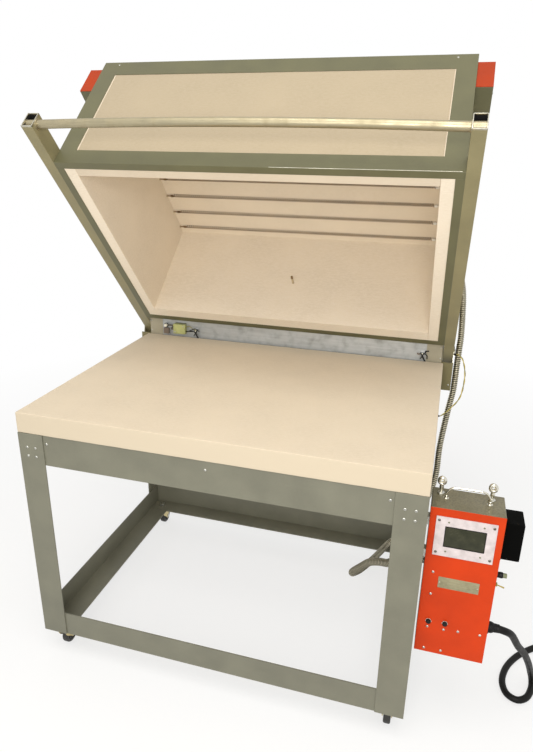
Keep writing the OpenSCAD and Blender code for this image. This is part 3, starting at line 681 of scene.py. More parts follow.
def make_surround(s):
    """The world: a faint even light that is seen as plain white."""
    world = bpy.data.worlds.new("surround")
    world.use_nodes = True
    tree = world.node_tree
    lit = tree.nodes["Background"]
    lit.inputs["Color"].default_value = (1.0, 0.985, 0.96, 1)
    lit.inputs["Strength"].default_value = s.surround
    seen = add_node(tree, "Background", {}, {"Color": (1, 1, 1, 1)})
    tree.links.new(shown(tree, looked_at(tree), lit, seen), tree.nodes["World Output"].inputs["Surface"])
    bpy.context.scene.world = world


def make_floor():
    """A wide pale floor that keeps the oven's shadow and turns white further out."""
    bm = bmesh.new()
    bmesh.ops.create_circle(bm, cap_ends=True, segments=96, radius=40)
    me = bpy.data.meshes.new("studio_floor")
    bm.to_mesh(me)
    bm.free()
    floor = bpy.data.objects.new("studio_floor", me)
    bpy.context.scene.collection.objects.link(floor)
    f = Surface("pale_floor", 0.9)
    f.set("Base Color", f.noise(900).over(0.3, 0.7).mix((0.93, 0.93, 0.925), (0.95, 0.95, 0.945)))
    f.set("Roughness", f.noise(400).over(0.3, 0.7, 0.85, 0.95))
    near, out = 1.2, 3.2
    far = f.made("VectorMath", "Value", {"operation": "LENGTH"}, {0: f.place})
    share = looked_at(f.tree) * far.over(near, out, 0.66, 1.0)
    glow = add_node(f.tree, "Emission", {}, {})
    f.tree.links.new(shown(f.tree, share, f.shader, glow),
                     f.tree.nodes["Material Output"].inputs["Surface"])
    me.materials.append(f.mat)


def make_stage(s):
    """The pale floor, the even surround, two soft lamps and the camera."""
    scene = bpy.context.scene
    scene.view_settings.view_transform = "Standard"
    scene.view_settings.look = "None"
    make_surround(s)
    make_floor()
    soft_light("key", at=(0.42, -2.9, 1.85), aim=(0, 0.2, 1.05), size=1.2, watts=s.key,
               tint=(1, 0.975, 0.93))
    soft_light("above", at=(0.2, -1.9, 4.7), aim=(0, -0.1, 0.9), size=2.6, watts=s.key * 2,
               tint=(1, 0.97, 0.92))
    make_camera()


# ---- leads --------------------------------------------------------------------------
CORD_D = 21.0                                  # the power cord's thickness
GLAND = Vector((817, 105, 391))                # where it leaves its strain relief
FLOOR_Z = CORD_D / 2                           # its centreline's height where it lies on the floor
COIL, COIL_R = Vector((1230, 712, 0)), 110.0   # the tied coil's middle and radius
PLUG_IN, PLUG_UP = 10.0, 68.0                  # how far inside that radius the plug lies, and how high


def fall(x, y, k):
    """A point where the cord hangs, at a share of the gland's height above the floor."""
    return (GLAND.x + x, GLAND.y + y, FLOOR_Z + (GLAND.z - FLOOR_Z) * k)


def lay(x, y):
    """A point where the cord lies on the floor."""
    return (GLAND.x + x, GLAND.y + y, FLOOR_Z)


def ease(t):
    """0 to 1 with level ends."""
    t = min(max(t, 0), 1)
    return t * t * (3 - 2 * t)


def cord_line():
    """The power cord's centreline: out, down, once round on the floor, then a tied coil."""
    free = curve([tuple(GLAND), fall(26, 2, 0.985), fall(50, 25, 0.91), fall(80, 74, 0.715),
                  fall(112, 126, 0.533), fall(140, 178, 0.327), fall(161, 225, 0.135),
                  (GLAND.x + 173, GLAND.y + 233, FLOOR_Z + 8), lay(169, 203), lay(151, 163),
                  lay(121, 145), lay(91, 163), lay(81, 207), lay(91, 257), lay(113, 303),
                  lay(149, 351), lay(195, 393), lay(253, 435), lay(313, 470), lay(368, 491),
                  lay(413, 497)], 8)
    coil, steps, start, sweep = [], 120, -90, 600
    for k in range(1, steps + 1):
        a = start + sweep * k / steps
        onto_turn, to_plug = ease((a - 190) / 75), ease((a - 400) / 105)
        up = CORD_D * onto_turn + (PLUG_UP - CORD_D - FLOOR_Z) * to_plug
        r = COIL_R - PLUG_IN * to_plug
        coil.append(COIL + Vector((r * math.cos(math.radians(a)), r * math.sin(math.radians(a)),
                                   FLOOR_Z + up)))
    return spaced(free + coil, 9)


def make_plug():
    """The round plug on the cord's end: a ribbed grip, a collar, its face and three pins."""
    b = Build()
    at = (Matrix.Translation(COIL) @ turn(150, "Z") @ move(COIL_R - PLUG_IN, 0, PLUG_UP)
          @ turn(-90, "X"))
    b.lathe([(11.5, -6), (12.2, -4), (12.4, 4), (13.5, 5), (13.5, 8), (12.8, 9), (13.4, 14),
             (14.6, 15), (14.6, 18), (13.8, 19), (15, 26), (19, 28), (22, 31), (22.6, 36),
             (22.6, 52), (25.2, 55), (26, 58), (26, 86), (25.4, 89), (24.6, 90), (12, 90)],
            "black", 48, at)
    ribs, pin_circle = 18, 13
    for k in range(ribs):
        b.box((21.5, -1.6, 34), (23.4, 1.6, 53), "black", 0.7, place=at @ turn(k * 360 / ribs, "Z"))
    b.lathe([(17.5, 89.5), (17.5, 90.4), (0, 90.4)], "tip", 32, at)
    for a in (90, 210, 330):
        b.lathe([(3.0, 88), (3.0, 108), (2.5, 109.6), (0, 110)], "brass", 20,
                at @ turn(a, "Z") @ move(pin_circle, 0, 0))
    for a in (30, 210):
        b.screw(6, at @ turn(a, "Z") @ move(22.3, 0, 43) @ turn(90, "Y"), slot="line")
    return b.done("power_lead_plug", "stand", ("power_plug",), 35, even=True)


def make_ties():
    """Three cable ties round the coil, each of two strands and a catch."""
    b = Build()
    low, high, half = 1.2, 2 * CORD_D + 1.0, CORD_D / 2 + 1.2
    for a in (-28, 62, 118):
        at = Matrix.Translation(COIL) @ turn(a, "Z") @ move(COIL_R, 0, 0)
        ring = curve([(-half, 0, low + 8), (-half, 0, high - 8), (-half + 5, 0, high),
                      (half - 5, 0, high), (half, 0, high - 8), (half, 0, low + 8),
                      (half - 5, 0, low), (-half + 5, 0, low), (-half, 0, low + 8)], 4)[:-1]
        for beside in (0, 2):
            b.tube([at @ (q + Vector((0, beside, 0))) for q in ring], 1.0, "tie", 8, closed=True)
        b.box((half - 1, -2.5, high - 16), (half + 4, 4.5, high - 8), "tie", 0.8, place=at)
    return b.done("power_lead_ties", "stand")


def make_strain_relief():
    """The nut and ribbed sleeve that the cord leaves the case through."""
    b = Build()
    at = move(CASE_X1, GLAND.y, GLAND.z) @ SIDEWAYS
    b.lathe([(13, -8), (13, 0.5)], "black", 32, at)
    b.hexagon(34, 7.4, "black", at @ move(0, 0, 0.2), 0.8)
    b.lathe([(15, 6), (15, 16), (14.2, 18.5), (12.9, 21), (12.2, 22), (12.2, 23.5), (12.6, 24),
             (12.6, 25.5), (12.0, 26), (11.9, 27.5), (12.3, 28), (12.3, 30), (11.7, 30.6),
             (11.6, 32), (11.9, 32.5), (11.9, 35), (11.2, 36.5), (10.4, 37)], "black", 40, at)
    ribs = 20
    for k in range(ribs):
        b.box((14.4, -0.9, 8.5), (15.7, 0.9, 15), "black", 0.4, place=at @ turn(k * 360 / ribs, "Z"))
    b.done("cord_strain_relief", "stand", ("cord_gland",), 35)


def make_cord():
    """The power cord with its plug and ties, and its strain relief."""
    line = cord_line()
    b = Build()
    b.tube(line, CORD_D / 2, "rubber", 18)
    cord = b.done("power_lead", "stand", ("power_cord", "cord_coil"), 60)
    plug, ties = make_plug(), make_ties()
    length_of(line) / 1000
    [tuple(SITE @ q) for q in line]
    make_strain_relief()


LEAD_X = 651.0                        # the conduit's line past the hinge
HOOD_ENTRY = (619.5, 759, 1230)       # where it enters the closed hood's cover
RINGS = [11.9, 12.0, 11.7, 9.7, 9.7]  # one rib of it: two rings make the groove


def hood_point(x, y, z):
    """A point of the closed hood's drawing where it is with the hood open."""
    y, z = y - PIV_Y, z - PIV_Z
    c, s = math.cos(OPEN), math.sin(OPEN)
    return Vector((x, PIV_Y + c * y + s * z, PIV_Z - s * y + c * z))


def conduit_line():
    """The conduit's centreline: out of the case, under the bed, up past the hinge, to the hood."""
    e, x, y = ENTRY.z, HX, BED_D
    top = hood_point(*HOOD_ENTRY)
    down = Vector((0, -math.sin(OPEN), -math.cos(OPEN)))
    return curve([
        (CASE_X0 - 18, ENTRY.y, e), (CASE_X0 - 40, ENTRY.y, e - 2), (x - 64, 138, e - 31),
        (x - 92, 163, e - 74), (x - 120, 188, e - 95), (x - 150, 213, e - 121),
        (x - 176, 240, e - 162), (x - 207, 280, e - 219), (x - 212, 330, e - 263),
        (x - 198, 405, e - 303), (x - 176, y - 370, e - 333), (x - 152, y - 290, e - 347),
        (x - 125, y - 205, e - 357), (x - 62, y - 165, e - 300), (x - 8, y - 118, e - 205),
        (x + 20, y - 66, e - 115), (LEAD_X - 27, y + 2, e - 11), (LEAD_X - 13, y + 30, e + 129),
        (LEAD_X - 3, PIV_Y - 14, PIV_Z - 150), (LEAD_X - 1, PIV_Y - 4, PIV_Z - 60),
        (LEAD_X, PIV_Y, PIV_Z - 12), (LEAD_X, PIV_Y, PIV_Z + 12),
        (LEAD_X + 1, PIV_Y + 2, PIV_Z + 60), (LEAD_X - 3, PIV_Y + 20, PIV_Z + 140),
        (LEAD_X - 11, PIV_Y + 52, PIV_Z + 220), tuple(top + down * 44), tuple(top + down * 18)], 12)


def make_conduit(s):
    """The corrugated conduit from the case to the hood, and its fittings."""
    line, sides = spaced(conduit_line(), s.conduit_pitch * 1000 / len(RINGS)), 14
    b = Build()
    b.tube(line, [RINGS[i % len(RINGS)] for i in range(len(line))], "conduit", sides)
    # Painted shade: the faces of each groove take the dark groove finish instead of the conduit's metal.
    groove = b.index("groove")
    for i, f in enumerate(f for f in b.bm.faces if len(f.verts) == 4):
        if (i // sides) % len(RINGS) >= 2:
            f.material_index = groove
    ob = b.done("flexible_conduit", None, ("stand_conduit", "hood_conduit"), 70)
    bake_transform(ob)
    make_conduit_fittings()


def make_conduit_fittings():
    """The two plated screw fittings that hold the conduit's ends."""
    top = hood_point(*HOOD_ENTRY)
    fitting = [(15, 0), (15, 1), (14.2, 1.6), (14.2, 11), (15, 12), (15, 13.5), (12.2, 13.5)]
    for name, at, body, node in (
            ("case_conduit_fitting", SITE @ Matrix.Translation(ENTRY - Vector((18, 0, 0))) @ SIDEWAYS,
             "stand", "case_connector"),
            ("hood_conduit_fitting", SITE @ Matrix.Translation(top) @ turn(-OPEN_DEG, "X") @ move(0, 0, -18),
             "hood", "hood_connector")):
        b = Build(at)
        b.lathe(fitting, "zinc", 40)
        b.hexagon(33.6, 5, "zinc", move(0, 0, 13), 0.7)
        b.screw(5, move(14.6, 0, 7) @ SIDEWAYS, "dark_steel", "line")
        b.done(name, body, (node,), 35)


def make_sensor_lead():
    """The sleeved sensor lead from the hinge bracket round to the rear leg."""
    x, z = CHEEK_OUT, 896
    line = spaced(curve([
        (x, 905, z + 25), (x + 16, 895, z + 26), (x + 34, 895, z + 7), (x + 46.5, 896, z - 43),
        (x + 46.5, 894, z - 96), (x + 36.5, 886, z - 144), (640, 868, z - 184), (614, 851, z - 205),
        (600, 849, z - 206)], 10), 2.5)
    b = Build()
    last = len(line) - 1
    for k, mat in enumerate(("yellow_lead", "sleeve")):
        strand = []
        for i, q in enumerate(line):
            a = i * 0.24 + k * math.pi
            apart = 1.25 * ease(min(i, last - i) / 12)
            round_it = Vector((math.cos(a), math.sin(a) * 0.6, math.sin(a) * 0.6))
            strand.append(q + round_it * apart)
        b.tube(strand, 1.7, mat, 8)
    for q, t in ((line[0], line[1] - line[0]), (line[-1], line[-2] - line[-1])):
        at = Matrix.Translation(q) @ t.to_track_quat("Z", "Y").to_matrix().to_4x4()
        b.lathe([(4.2, 0), (4.2, 5), (3.4, 6), (3.0, 9), (2.4, 9.2)], "black", 20, at)
    b.done("sensor_lead_pair", "stand", ("sensor_lead",), 50)


# ---- boards and elements --------------------------------------------------------------
def make_bed(s):
    """The two insulating boards of the bed."""
    for name, node, x0, x1, seed in (("bed_board_main", "bed_main_board", -HX, SEAM_X + SEAM_LAP, 1.3),
                                     ("bed_board_side", "bed_side_board", SEAM_X - SEAM_LAP, HX, 7.1)):
        b = Build()
        b.slab((x0, 0, BED_LOW), (x1, BED_D, BED_TOP), "bed", s.board_edge * 1000, 13, 0.45, seed)
        b.done(name, "stand", (node,), 60, even=True)


def make_hood_boards():
    """The five boards that line the hood."""
    # The front board's outward face takes the dark front-panel tint, as painted shade against the strong
    # lamp light. Its other faces and the side boards' front faces take the in-between edge tint.
    front = lambda n, c: n.y < -0.9
    for name, node, mat, r, picks in (("hood_board_front", "front_board", "lip", 2.2, ((front, "panel"),)),
                                      ("hood_board_rear", "rear_board", "board", 0, ()),
                                      ("hood_board_sides", "side_boards", "board", 2.2, ((front, "lip"),)),
                                      ("hood_board_roof", "roof_board", "board", 0, ())):
        dress(name, node, mat, "hood", r, picks)


def make_elements(s):
    """Eight coiled elements in the roof board's grooves, with bright tails to the side walls."""
    rows, rear_row, front_row, z = 8, 737, 115, 1302
    half, wall, pitch, per = 506.0, 536.3, s.coil_pitch * 1000, 9
    coil_r, wire_r, tail_r = 5.9, 1.2, 2.2
    turns = int(2 * half / pitch)
    for i in range(rows):
        y = rear_row - i * (rear_row - front_row) / (rows - 1)
        b = Build(HOOD)
        line = []
        for k in range(turns * per + 1):
            a = 2 * math.pi * k / per
            wob = 0.35 * noise.noise(Vector((k / per / 9, i * 3.7, 0)))
            line.append(Vector((-half + 2 * half * k / (turns * per), y + coil_r * math.cos(a) + wob,
                                z + coil_r * math.sin(a) + wob)))
        b.tube(line, wire_r, "wire", 5)
        for sx, mat in ((-1, "wire"), (1, "tail")):
            tail = [(sx * half, y + 5.5, z), (sx * (half + 5), y + 2, z - 2),
                    (sx * (half + 12), y, z - 3.5), (sx * (half + 20), y, z - 3.5),
                    (sx * wall, y, z - 3.5)]
            b.tube(curve(tail, 5), tail_r, mat, 10)
            b.lathe([(0, -1), (4.2, -1), (4.5, 0), (4.5, 8), (3.6, 9), (2.2, 9.2)], mat, 20,
                    move(sx * (half + 4), y + 1.5, z - 2.2) @ turn(90 * sx, "Y"))
            b.lathe([(5.4, 0), (5.4, 1.4), (4.6, 2.4), (2.2, 3.2)], "ceramic", 24,
                    move(sx * (wall - 0.1), y, z - 3.5) @ turn(-90 * sx, "Y"))
        b.done(f"element_row_{i + 1}", "hood", () if i else ("element_rows",), 50)


def make_thermocouple():
    """The ceramic sheath that comes through the rear board."""
    b = Build(HOOD)
    at = move(2, 732, 1075) @ turn(-90, "X")
    b.lathe([(0, 0), (2.8, 0.5), (4.2, 2.4), (4.4, 6), (4.4, 13), (3.6, 14)], "wire", 28, at)
    b.lathe([(3.6, 13), (3.6, 40), (4.3, 41), (4.5, 42), (4.5, 110), (0, 110)], "ceramic", 28, at)
    b.done("thermocouple_sheath", "hood", ("thermocouple",), 40)


# ---- stand and hood steelwork ---------------------------------------------------------
def make_stand(s):
    """Legs, rails and bearers of the stand, with the screws in their faces."""
    r = s.edge_radius * 1000
    for node in ("front_legs", "rear_legs", "top_front_rail", "top_rear_rail", "top_side_rails",
                 "low_front_rail", "low_rear_rail", "low_side_rails", "bed_bearers"):
        dress("stand_" + node, node, "frame", "stand", r)
    b = Build()
    for sx in (-1, 1):
        for x in (HX - 57, HX - 29):
            for z in (786, 757):
                b.screw(8, move(sx * x, 0, z) @ FACING)
    for x in (-505, 0, 505):
        b.screw(8, move(x, 4, 803) @ FACING)
    b.done("stand_frame_screws", "stand", ("frame_screws",), 35)


def make_hood_frames(s):
    """The hood's four sheet frames, the small fixings in its front, and a thin bright rod along its lower
    edge that is a painted highlight.
    """
    r = s.edge_radius * 1000 * 0.7
    for node in ("hood_front_frame", "hood_rear_frame", "hood_side_frames", "hood_roof_frame"):
        dress(node.replace("hood_", "hood_skin_"), node, "hood", "hood", r)
    b = Build(HOOD)
    for x in (-540, 540):
        b.screw(6, move(x, 24, 1352) @ FACING)
    # Painted highlight: a thin rod of bright metal along the front frame's lower edge, standing for the
    # light that its fold catches.
    b.tube([(80, 24.2, 898.3), (300, 24.1, 898.2), (588, 24.2, 898.3)], 0.8, "edge", 8)
    b.done("hood_front_screws_and_painted_highlight", "hood", (), 35)


def make_covers():
    """The folded terminal covers along the hood's sides: orange end plates on olive sheet."""
    for sx, name in ((-1, "left"), (1, "right")):
        b = Build(HOOD)
        x0, x1 = sorted((sx * ARM_IN, sx * COVER_OUT))
        y0, y1, z0, z1, sheet = 29, 779, HOOD_ENTRY[2], 1336, 2
        b.box((x0, y0 + sheet, z0), (x1, y1 - sheet, z1), "hood", 1.6, 3)
        for a, c in ((y0, y0 + sheet), (y1 - sheet, y1)):
            b.box((x0, a, z0), (x1, c, z1), "end", 0.6)
        out = SIDEWAYS if sx > 0 else turn(-90, "Y")
        for y in (60, 290, 520, 748):
            for z in (1242, 1324):
                b.screw(6, move(sx * (COVER_OUT - 0.2), y, z) @ out)
        for y in range(150, 680, 60):
            b.box((-1.2, -20, -2.5), (0.9, 20, 2.5), "hood", 1.0,
                  place=move(sx * (COVER_OUT - 0.7), y, (z0 + z1) / 2))
        b.done("terminal_cover_" + name, "hood",
               ("terminal_covers",) if sx < 0 else (), 35, even=True)


def make_lift(s):
    """The lift arms, their bright cut ends, and the drawn tube that joins them."""
    y0, wall, bar_y, bar_z, bar_r = -107.0, 2.6, -90, 925, 12.6
    hollow = lambda n, c: (abs(n.y) < 0.3 and ARM_IN + 1.5 < abs(c.x) < ARM_OUT - 1.5
                           and ARM_LOW + 1.5 < c.z < ARM_TOP - 1.5)
    cut = lambda n, c: n.y < -0.9 and c.y < y0 + 1
    dress("lift_arm_tubes", "lift_arms", "arm", "hood", 0,
          ((hollow, "bore"), (cut, "edge")))
    b = Build(HOOD)
    for sx in (-1, 1):
        for x0, x1, z0, z1 in ((ARM_IN, ARM_OUT, ARM_LOW, ARM_LOW + wall),
                               (ARM_IN, ARM_OUT, ARM_TOP - wall, ARM_TOP),
                               (ARM_IN, ARM_IN + wall, ARM_LOW, ARM_TOP),
                               (ARM_OUT - wall, ARM_OUT, ARM_LOW, ARM_TOP)):
            a, c = sorted((sx * x0, sx * x1))
            b.box((a, y0 - 0.6, z0), (c, y0 + 5, z1), "edge", 0.5)
    b.done("lift_arm_rims", "hood", (), 35)
    b = Build(HOOD)
    bow, lean = s.bar_bow * 1000, Vector((0, -math.sin(OPEN), math.cos(OPEN)))
    line = [Vector((x, bar_y, bar_z)) + lean * bow * max(0, 1 - (x / ARM_IN) ** 2)
            for x in range(int(-ARM_OUT), int(ARM_OUT) + 1, 8)]
    b.tube(line, bar_r, "bar", 36)
    for sx in (-1, 1):
        at = move(sx * ARM_IN, bar_y, bar_z) @ turn(90 * sx, "Y")
        b.lathe([(12.6, -2.5), (15.4, -1.6), (15.8, -0.8), (15.8, 0.2), (12.6, 0.2)], "bar", 36, at)
        b.lathe([(0, 36.05), (9.6, 36.05), (10.1, 36.2)], "bore", 32, at)
        b.lathe([(10.1, 36.0), (10.3, 36.6), (12.3, 36.6), (12.6, 36.0)], "edge", 32, at)
    b.done("lift_handle_bar", "hood", ("handle_bar",), 40, even=True)


def make_brackets():
    """The stepped plate behind the bed, and the pivot brackets on it, whose outer cheeks have a painted
    highlight in bright metal on their front edges.
    """
    flange = lambda n, c: n.y < -0.9 and abs(c.x) < 592
    # Painted highlight: the outer cheeks' lower front faces get bright bare metal for the light they catch.
    lip = lambda n, c: n.y < -0.9 and abs(c.x) > 627 and c.z < 915
    dress("rear_step_plate", "rear_plate", "rolled", "stand", 0.7)
    dress("hinge_brackets", "pivot_brackets", "bracket", "stand", 0,
          ((flange, "flange"), (lip, "edge")), (-592, 592))


def make_pivots():
    """The pivot bolts, and the screws of the plate and brackets."""
    b = Build()
    for sx in (-1, 1):
        for x, k in ((CHEEK_IN, -1), (CHEEK_OUT, 1)):
            at = move(sx * x, PIV_Y, PIV_Z) @ turn(90 * sx * k, "Y")
            b.lathe([(9, 0), (9, 0.8), (8.5, 1.0), (6.4, 1.1)], "zinc", 36, at)
            b.hexagon(17, 3.0, "zinc", at, 0.6)
            b.lathe([(5.6, -4), (5.6, 3.0), (4.8, 3.4), (0, 3.6)], "zinc", 28, at)
        b.tube([(sx * CHEEK_IN, PIV_Y, PIV_Z), (sx * CHEEK_OUT, PIV_Y, PIV_Z)], 6, "zinc", 28)
        b.screw(7, move(sx * 626, 876, 808) @ FACING)
        for z in (822, 845):
            b.screw(8, move(sx * 560, 865, z - 30) @ turn(-90, "X"), "dark_steel")
        for z in (908, 950):
            b.screw(6.5, move(sx * 587, 876, z) @ FACING)
    b.done("hinge_pivot_bolts", "stand", ("pivot_pins",), 35)


def make_limit_switch():
    """The limit switch: its body, roller arm and two thin leads, with a brown block below the roller that is
    a painted shadow.
    """
    b = Build()
    x, y, z = -480.0, 854.0, 908.0
    roller = move(x - 36, y + 1, z + 30) @ turn(-90, "X")
    b.box((x, y, z), (x + 52, y + 20, z + 40), "switch", 2.2, 3)
    b.box((x + 2, y + 20, z - 2), (x + 50, y + 22, z + 42), "dark_steel", 0.5)
    b.box((x + 3, y - 0.7, z + 3), (x + 49, y + 1, z + 37), "switch", 0.5)
    for p, q in ((8, 8), (44, 32)):
        b.screw(6, move(x + p, y - 0.6, z + q) @ FACING)
    b.box((x - 12, y + 4, z + 14), (x + 1, y + 20, z + 24), "dark_steel", 1)
    b.box((x - 38, y + 10, z + 27), (x + 2, y + 14, z + 33), "dark_steel", 0.8)
    # Painted shadow: this brown block below the roller is shade, not a part.
    b.box((x - 47, y + 8, z - 6), (x - 25, y + 21, z + 18), "slot", 1)
    b.lathe([(0, 0), (5.4, 0.6), (6.6, 2.2), (7, 4), (7, 9), (6.2, 10.5), (4, 11), (4, 14)], "roller", 32,
            roller)
    b.lathe([(9, 9), (9, 12), (8, 13), (4, 13)], "bore", 28, roller)
    lower = [(x + 50, y + 8, z + 14), (x + 62, y + 6, z + 12), (x + 76, y + 10, z + 18),
             (x + 92, y + 8, z + 26), (x + 106, y + 12, z + 22)]
    upper = [(x + 50, y + 10, z + 26), (x + 66, y + 12, z + 34), (x + 84, y + 9, z + 24),
             (x + 106, y + 13, z + 17)]
    b.tube(spaced(curve(lower, 8), 3), 1.6, "black", 8)
    b.tube(spaced(curve(upper, 8), 3), 1.3, "sleeve", 8)
    b.done("limit_switch_block", "stand", ("limit_switch",), 35, even=True)


def make_lead_clips():
    """Two spring clips, each with dark strands that cross over it.
    A strand is its finish, its radius, and (across, up) points from the clip's foot."""
    b = Build()
    crossing = (("bore", 2.8, (-9, 21), (-1, 17), (9, 6), (24, -9)),
                ("clip", 2.2, (4, 16), (-2, 8), (-9, 2)))
    left = (("bore", 2.3, (-4, 20), (-26, 19), (-44, 19)),
            ("clip", 2.2, (2, 20), (16, 25), (32, 22)))
    right = (("clip", 2.3, (4, 18), (16, 22), (30, 16), (32, 4)),
             ("bore", 2.5, (18, 22), (21, 32), (40, 34)),
             ("slot", 2.6, (-8, 20), (-20, 19), (-30, 22)))
    for x, strands in ((-400, crossing + left), (508, crossing + right)):
        at = move(x + 13, 876, 902)
        b.box((-7, -1.5, 2), (9, 0, 32), "rolled", 0.6, place=at)
        b.screw(6, at @ move(1, -1.4, 7) @ FACING, "dark_steel", "line")
        for mat, thick, *run in strands:
            line = [(0.6 * across, -3 if n == 0 else -13, up) for n, (across, up) in enumerate(run)]
            b.tube(curve(line, 5), thick, mat, 10, place=at)
        b.box((-6, -11, 17), (7, -1, 23), "clip", 1.6, place=at)
        b.box((-2, -12, 19), (3, -10, 24), "roller", 0.8, place=at)
    b.done("spring_lead_clips", "stand", ("lead_clips",), 35)


def make_hinge_line():
    """The plate behind the bed, the brackets with their bolts, the limit switch and the lead clips."""
    make_brackets()
    make_pivots()
    make_limit_switch()
    make_lead_clips()


# ---- control case -----------------------------------------------------------------------
DISPLAY = (647, 750, 664, 727)   # the display's sides, bottom and top
PLATE = (647, 752, 533, 568)     # the nameplate's
FITTINGS_Y, TOGGLE_Z = 90, 547   # where the socket and the toggle sit on the case's side


def on_front(x, z, y=50.0):
    """A place on the case's front, x from its left edge and z down from its top, facing the operator."""
    return move(CASE_X0 + x, y, CASE_TOP - z) @ FACING


def make_shell():
    """The hammered case with its spacers, side screws and louvres, and its orange front."""
    b = Build()
    b.box((CASE_X0, CASE_Y0, CASE_LOW), (CASE_X1, CASE_Y1, CASE_TOP), "hammer", 2.4, 3)
    for z in (716, 615):
        b.box((HX, 58, z), (CASE_X0 + 2, 82, z + 24), "zinc", 0.6)
    for y in (74, 136):
        for z in (332, 752):
            b.screw(7, move(CASE_X1, y, z) @ SIDEWAYS)
    for z in range(400, 470, 12):
        b.box((-0.7, -24, -2), (0.6, 24, 2), "hammer", 0.5, place=move(698, CASE_Y1, z) @ turn(90, "Z"))
    b.done("control_case_shell", "stand", ("control_case",), 35, even=True)
    b = Build()
    b.box((CASE_X0, 49.9, CASE_LOW), (CASE_X1, CASE_Y0 + 0.4, CASE_TOP), "orange", 0.9)
    b.done("control_case_front", "stand", ("control_front",), 35, even=True)


def make_display():
    """The display in its surround, with a black rim."""
    dress("display_surround", "display_bezel", "bezel", "stand", 0.7)
    b = Build()
    x0, x1, z0, z1 = DISPLAY
    b.box((x0 + 0.4, 48.6, z0 + 0.4), (x1 - 0.4, 50, z1 - 0.4), "screen", 0.3)
    for a, c, low, high in ((x0, x1, z1 - 2.8, z1), (x0, x1, z0, z0 + 2.2), (x0, x0 + 2, z0, z1),
                            (x1 - 2, x1, z0, z1)):
        b.box((a, 47.9, low), (c, 50, high), "black", 0.3)
    b.done("display_panel", "stand", ("display_glass",), 35)


def make_nameplate():
    """The blank nameplate and its two pins."""
    b = Build()
    x0, x1, z0, z1 = PLATE
    b.box((x0, 49.2, z0), (x1, 50, z1), "plate", 0.35)
    for x in (x0 + 4, x1 - 4):
        b.lathe([(1.6, 0), (1.5, 0.5), (0.8, 0.9), (0, 1.0)], "zinc", 14,
                move(x, 49.2, (z0 + z1) / 2) @ FACING)
    b.done("blank_nameplate", "stand", ("nameplate",), 35)


def make_panel_screws():
    """The screws of the display's surround and of the orange front."""
    b = Build()
    for x in (24.5, 160):
        for z in (33, 130):
            b.screw(7.5, on_front(x, z, 47), "dark_steel")
    for x in (49, 136):
        for z in (36, 125):
            b.screw(5, on_front(x, z, 47), "tip")
    for x, z in ((25, 197), (26, 269), (28, 380), (72, 380), (110, 377), (167, 374), (26, 455),
                 (72, 454)):
        b.screw(7.5, on_front(x, z, 49.9))
    b.done("case_panel_screws", "stand", ("panel_screws",), 35)


def make_fuse_caps():
    """Two round fuse holder caps, knurled and slotted, each on a nut."""
    b = Build()
    knurls = 16
    for x, z in ((29.6, 359), (73.1, 357)):
        at = on_front(x, z)
        b.hexagon(15, 2.2, "chrome", at, 0.4)
        b.lathe([(6.9, 2), (6.9, 3), (6.2, 3.4), (6.2, 7.4), (5.6, 8), (0, 8)], "black", 32, at)
        for k in range(knurls):
            b.box((5.9, -0.45, 3.5), (6.6, 0.45, 7.3), "black", 0.2,
                  place=at @ turn(k * 360 / knurls, "Z"))
        b.box((-4.4, -0.6, 7.5), (4.4, 0.6, 8.06), "bore", 0, place=at)
        b.lathe([(5, -14), (5, 0.5)], "black", 20, at)
    b.done("fuse_holder_caps", "stand", ("fuse_caps",), 35)


def make_bow_handle():
    """The bright bow handle on the case's top, on two turned feet."""
    b = Build()
    y, z, left, right = 106.0, CASE_TOP, 642.0, 752.0
    half = [(0, 1), (0, 8), (0.6, 15), (4, 22.5), (9.5, 29), (18, 33), (28, 34)]
    line = curve([(left + u, y, z + v) for u, v in half] + [((left + right) / 2, y, z + 34.3)]
                 + [(right - u, y, z + v) for u, v in reversed(half)], 6)
    b.tube(line, 2.9, "chrome", 20)
    for x in (left, right):
        at = move(x, y, z)
        b.lathe([(6, 0), (6, 1.6), (5.4, 2.6), (4.2, 3), (4.2, 7.5), (3.7, 8.6), (2.8, 9)], "chrome", 32, at)
        b.lathe([(7.4, 0), (7.4, 0.7), (6, 0.9)], "zinc", 32, at)
    b.done("case_bow_handle", "stand", ("case_handle",), 45)


def make_eye_bolts():
    """Two eye bolts behind the handle, each on a nut and washer."""
    b = Build()
    around = 40
    for x in (628, 757):
        at = move(x, 127, CASE_TOP)
        b.hexagon(17, 4.6, "zinc", at, 0.7)
        b.lathe([(9, 0), (9, 0.8), (4.4, 1)], "zinc", 32, at)
        b.lathe([(4, 4), (4, 14), (5.6, 16), (6.2, 19), (5.4, 23), (5.2, 27)], "chrome", 28, at)
        ring = [Vector((7.6 * math.cos(a), 0, 37.5 + (9.4 if math.sin(a) > 0 else 7.8) * math.sin(a)))
                for a in (2 * math.pi * k / around for k in range(around))]
        b.tube(ring, 4.9, "chrome", 18, closed=True, wide=1.25, place=at)
    b.done("case_eye_bolts", "stand", ("hanger_eyes",), 45)


def make_case():
    """The control case, its front, and everything fixed to its front and top."""
    make_shell()
    make_display()
    make_nameplate()
    make_panel_screws()
    make_fuse_caps()
    make_bow_handle()
    make_eye_bolts()


def make_side_box():
    """The black box on the case's right side: a base, a body and a lid with four screws."""
    b = Build()
    b.box((CASE_X1, 85, 629), (797, 159, 743), "box", 0.8)
    b.box((796.4, 86, 630), (842.4, 158, 742), "box", 2.6, 3)
    b.box((841.4, 90, 634), (843, 154, 738), "box", 0.7)
    for y in (96, 148):
        for z in (640, 732):
            b.screw(5, move(842.2, y, z) @ SIDEWAYS, "dark_steel")
    b.done("side_relay_box", "stand", ("side_box",), 35, even=True)


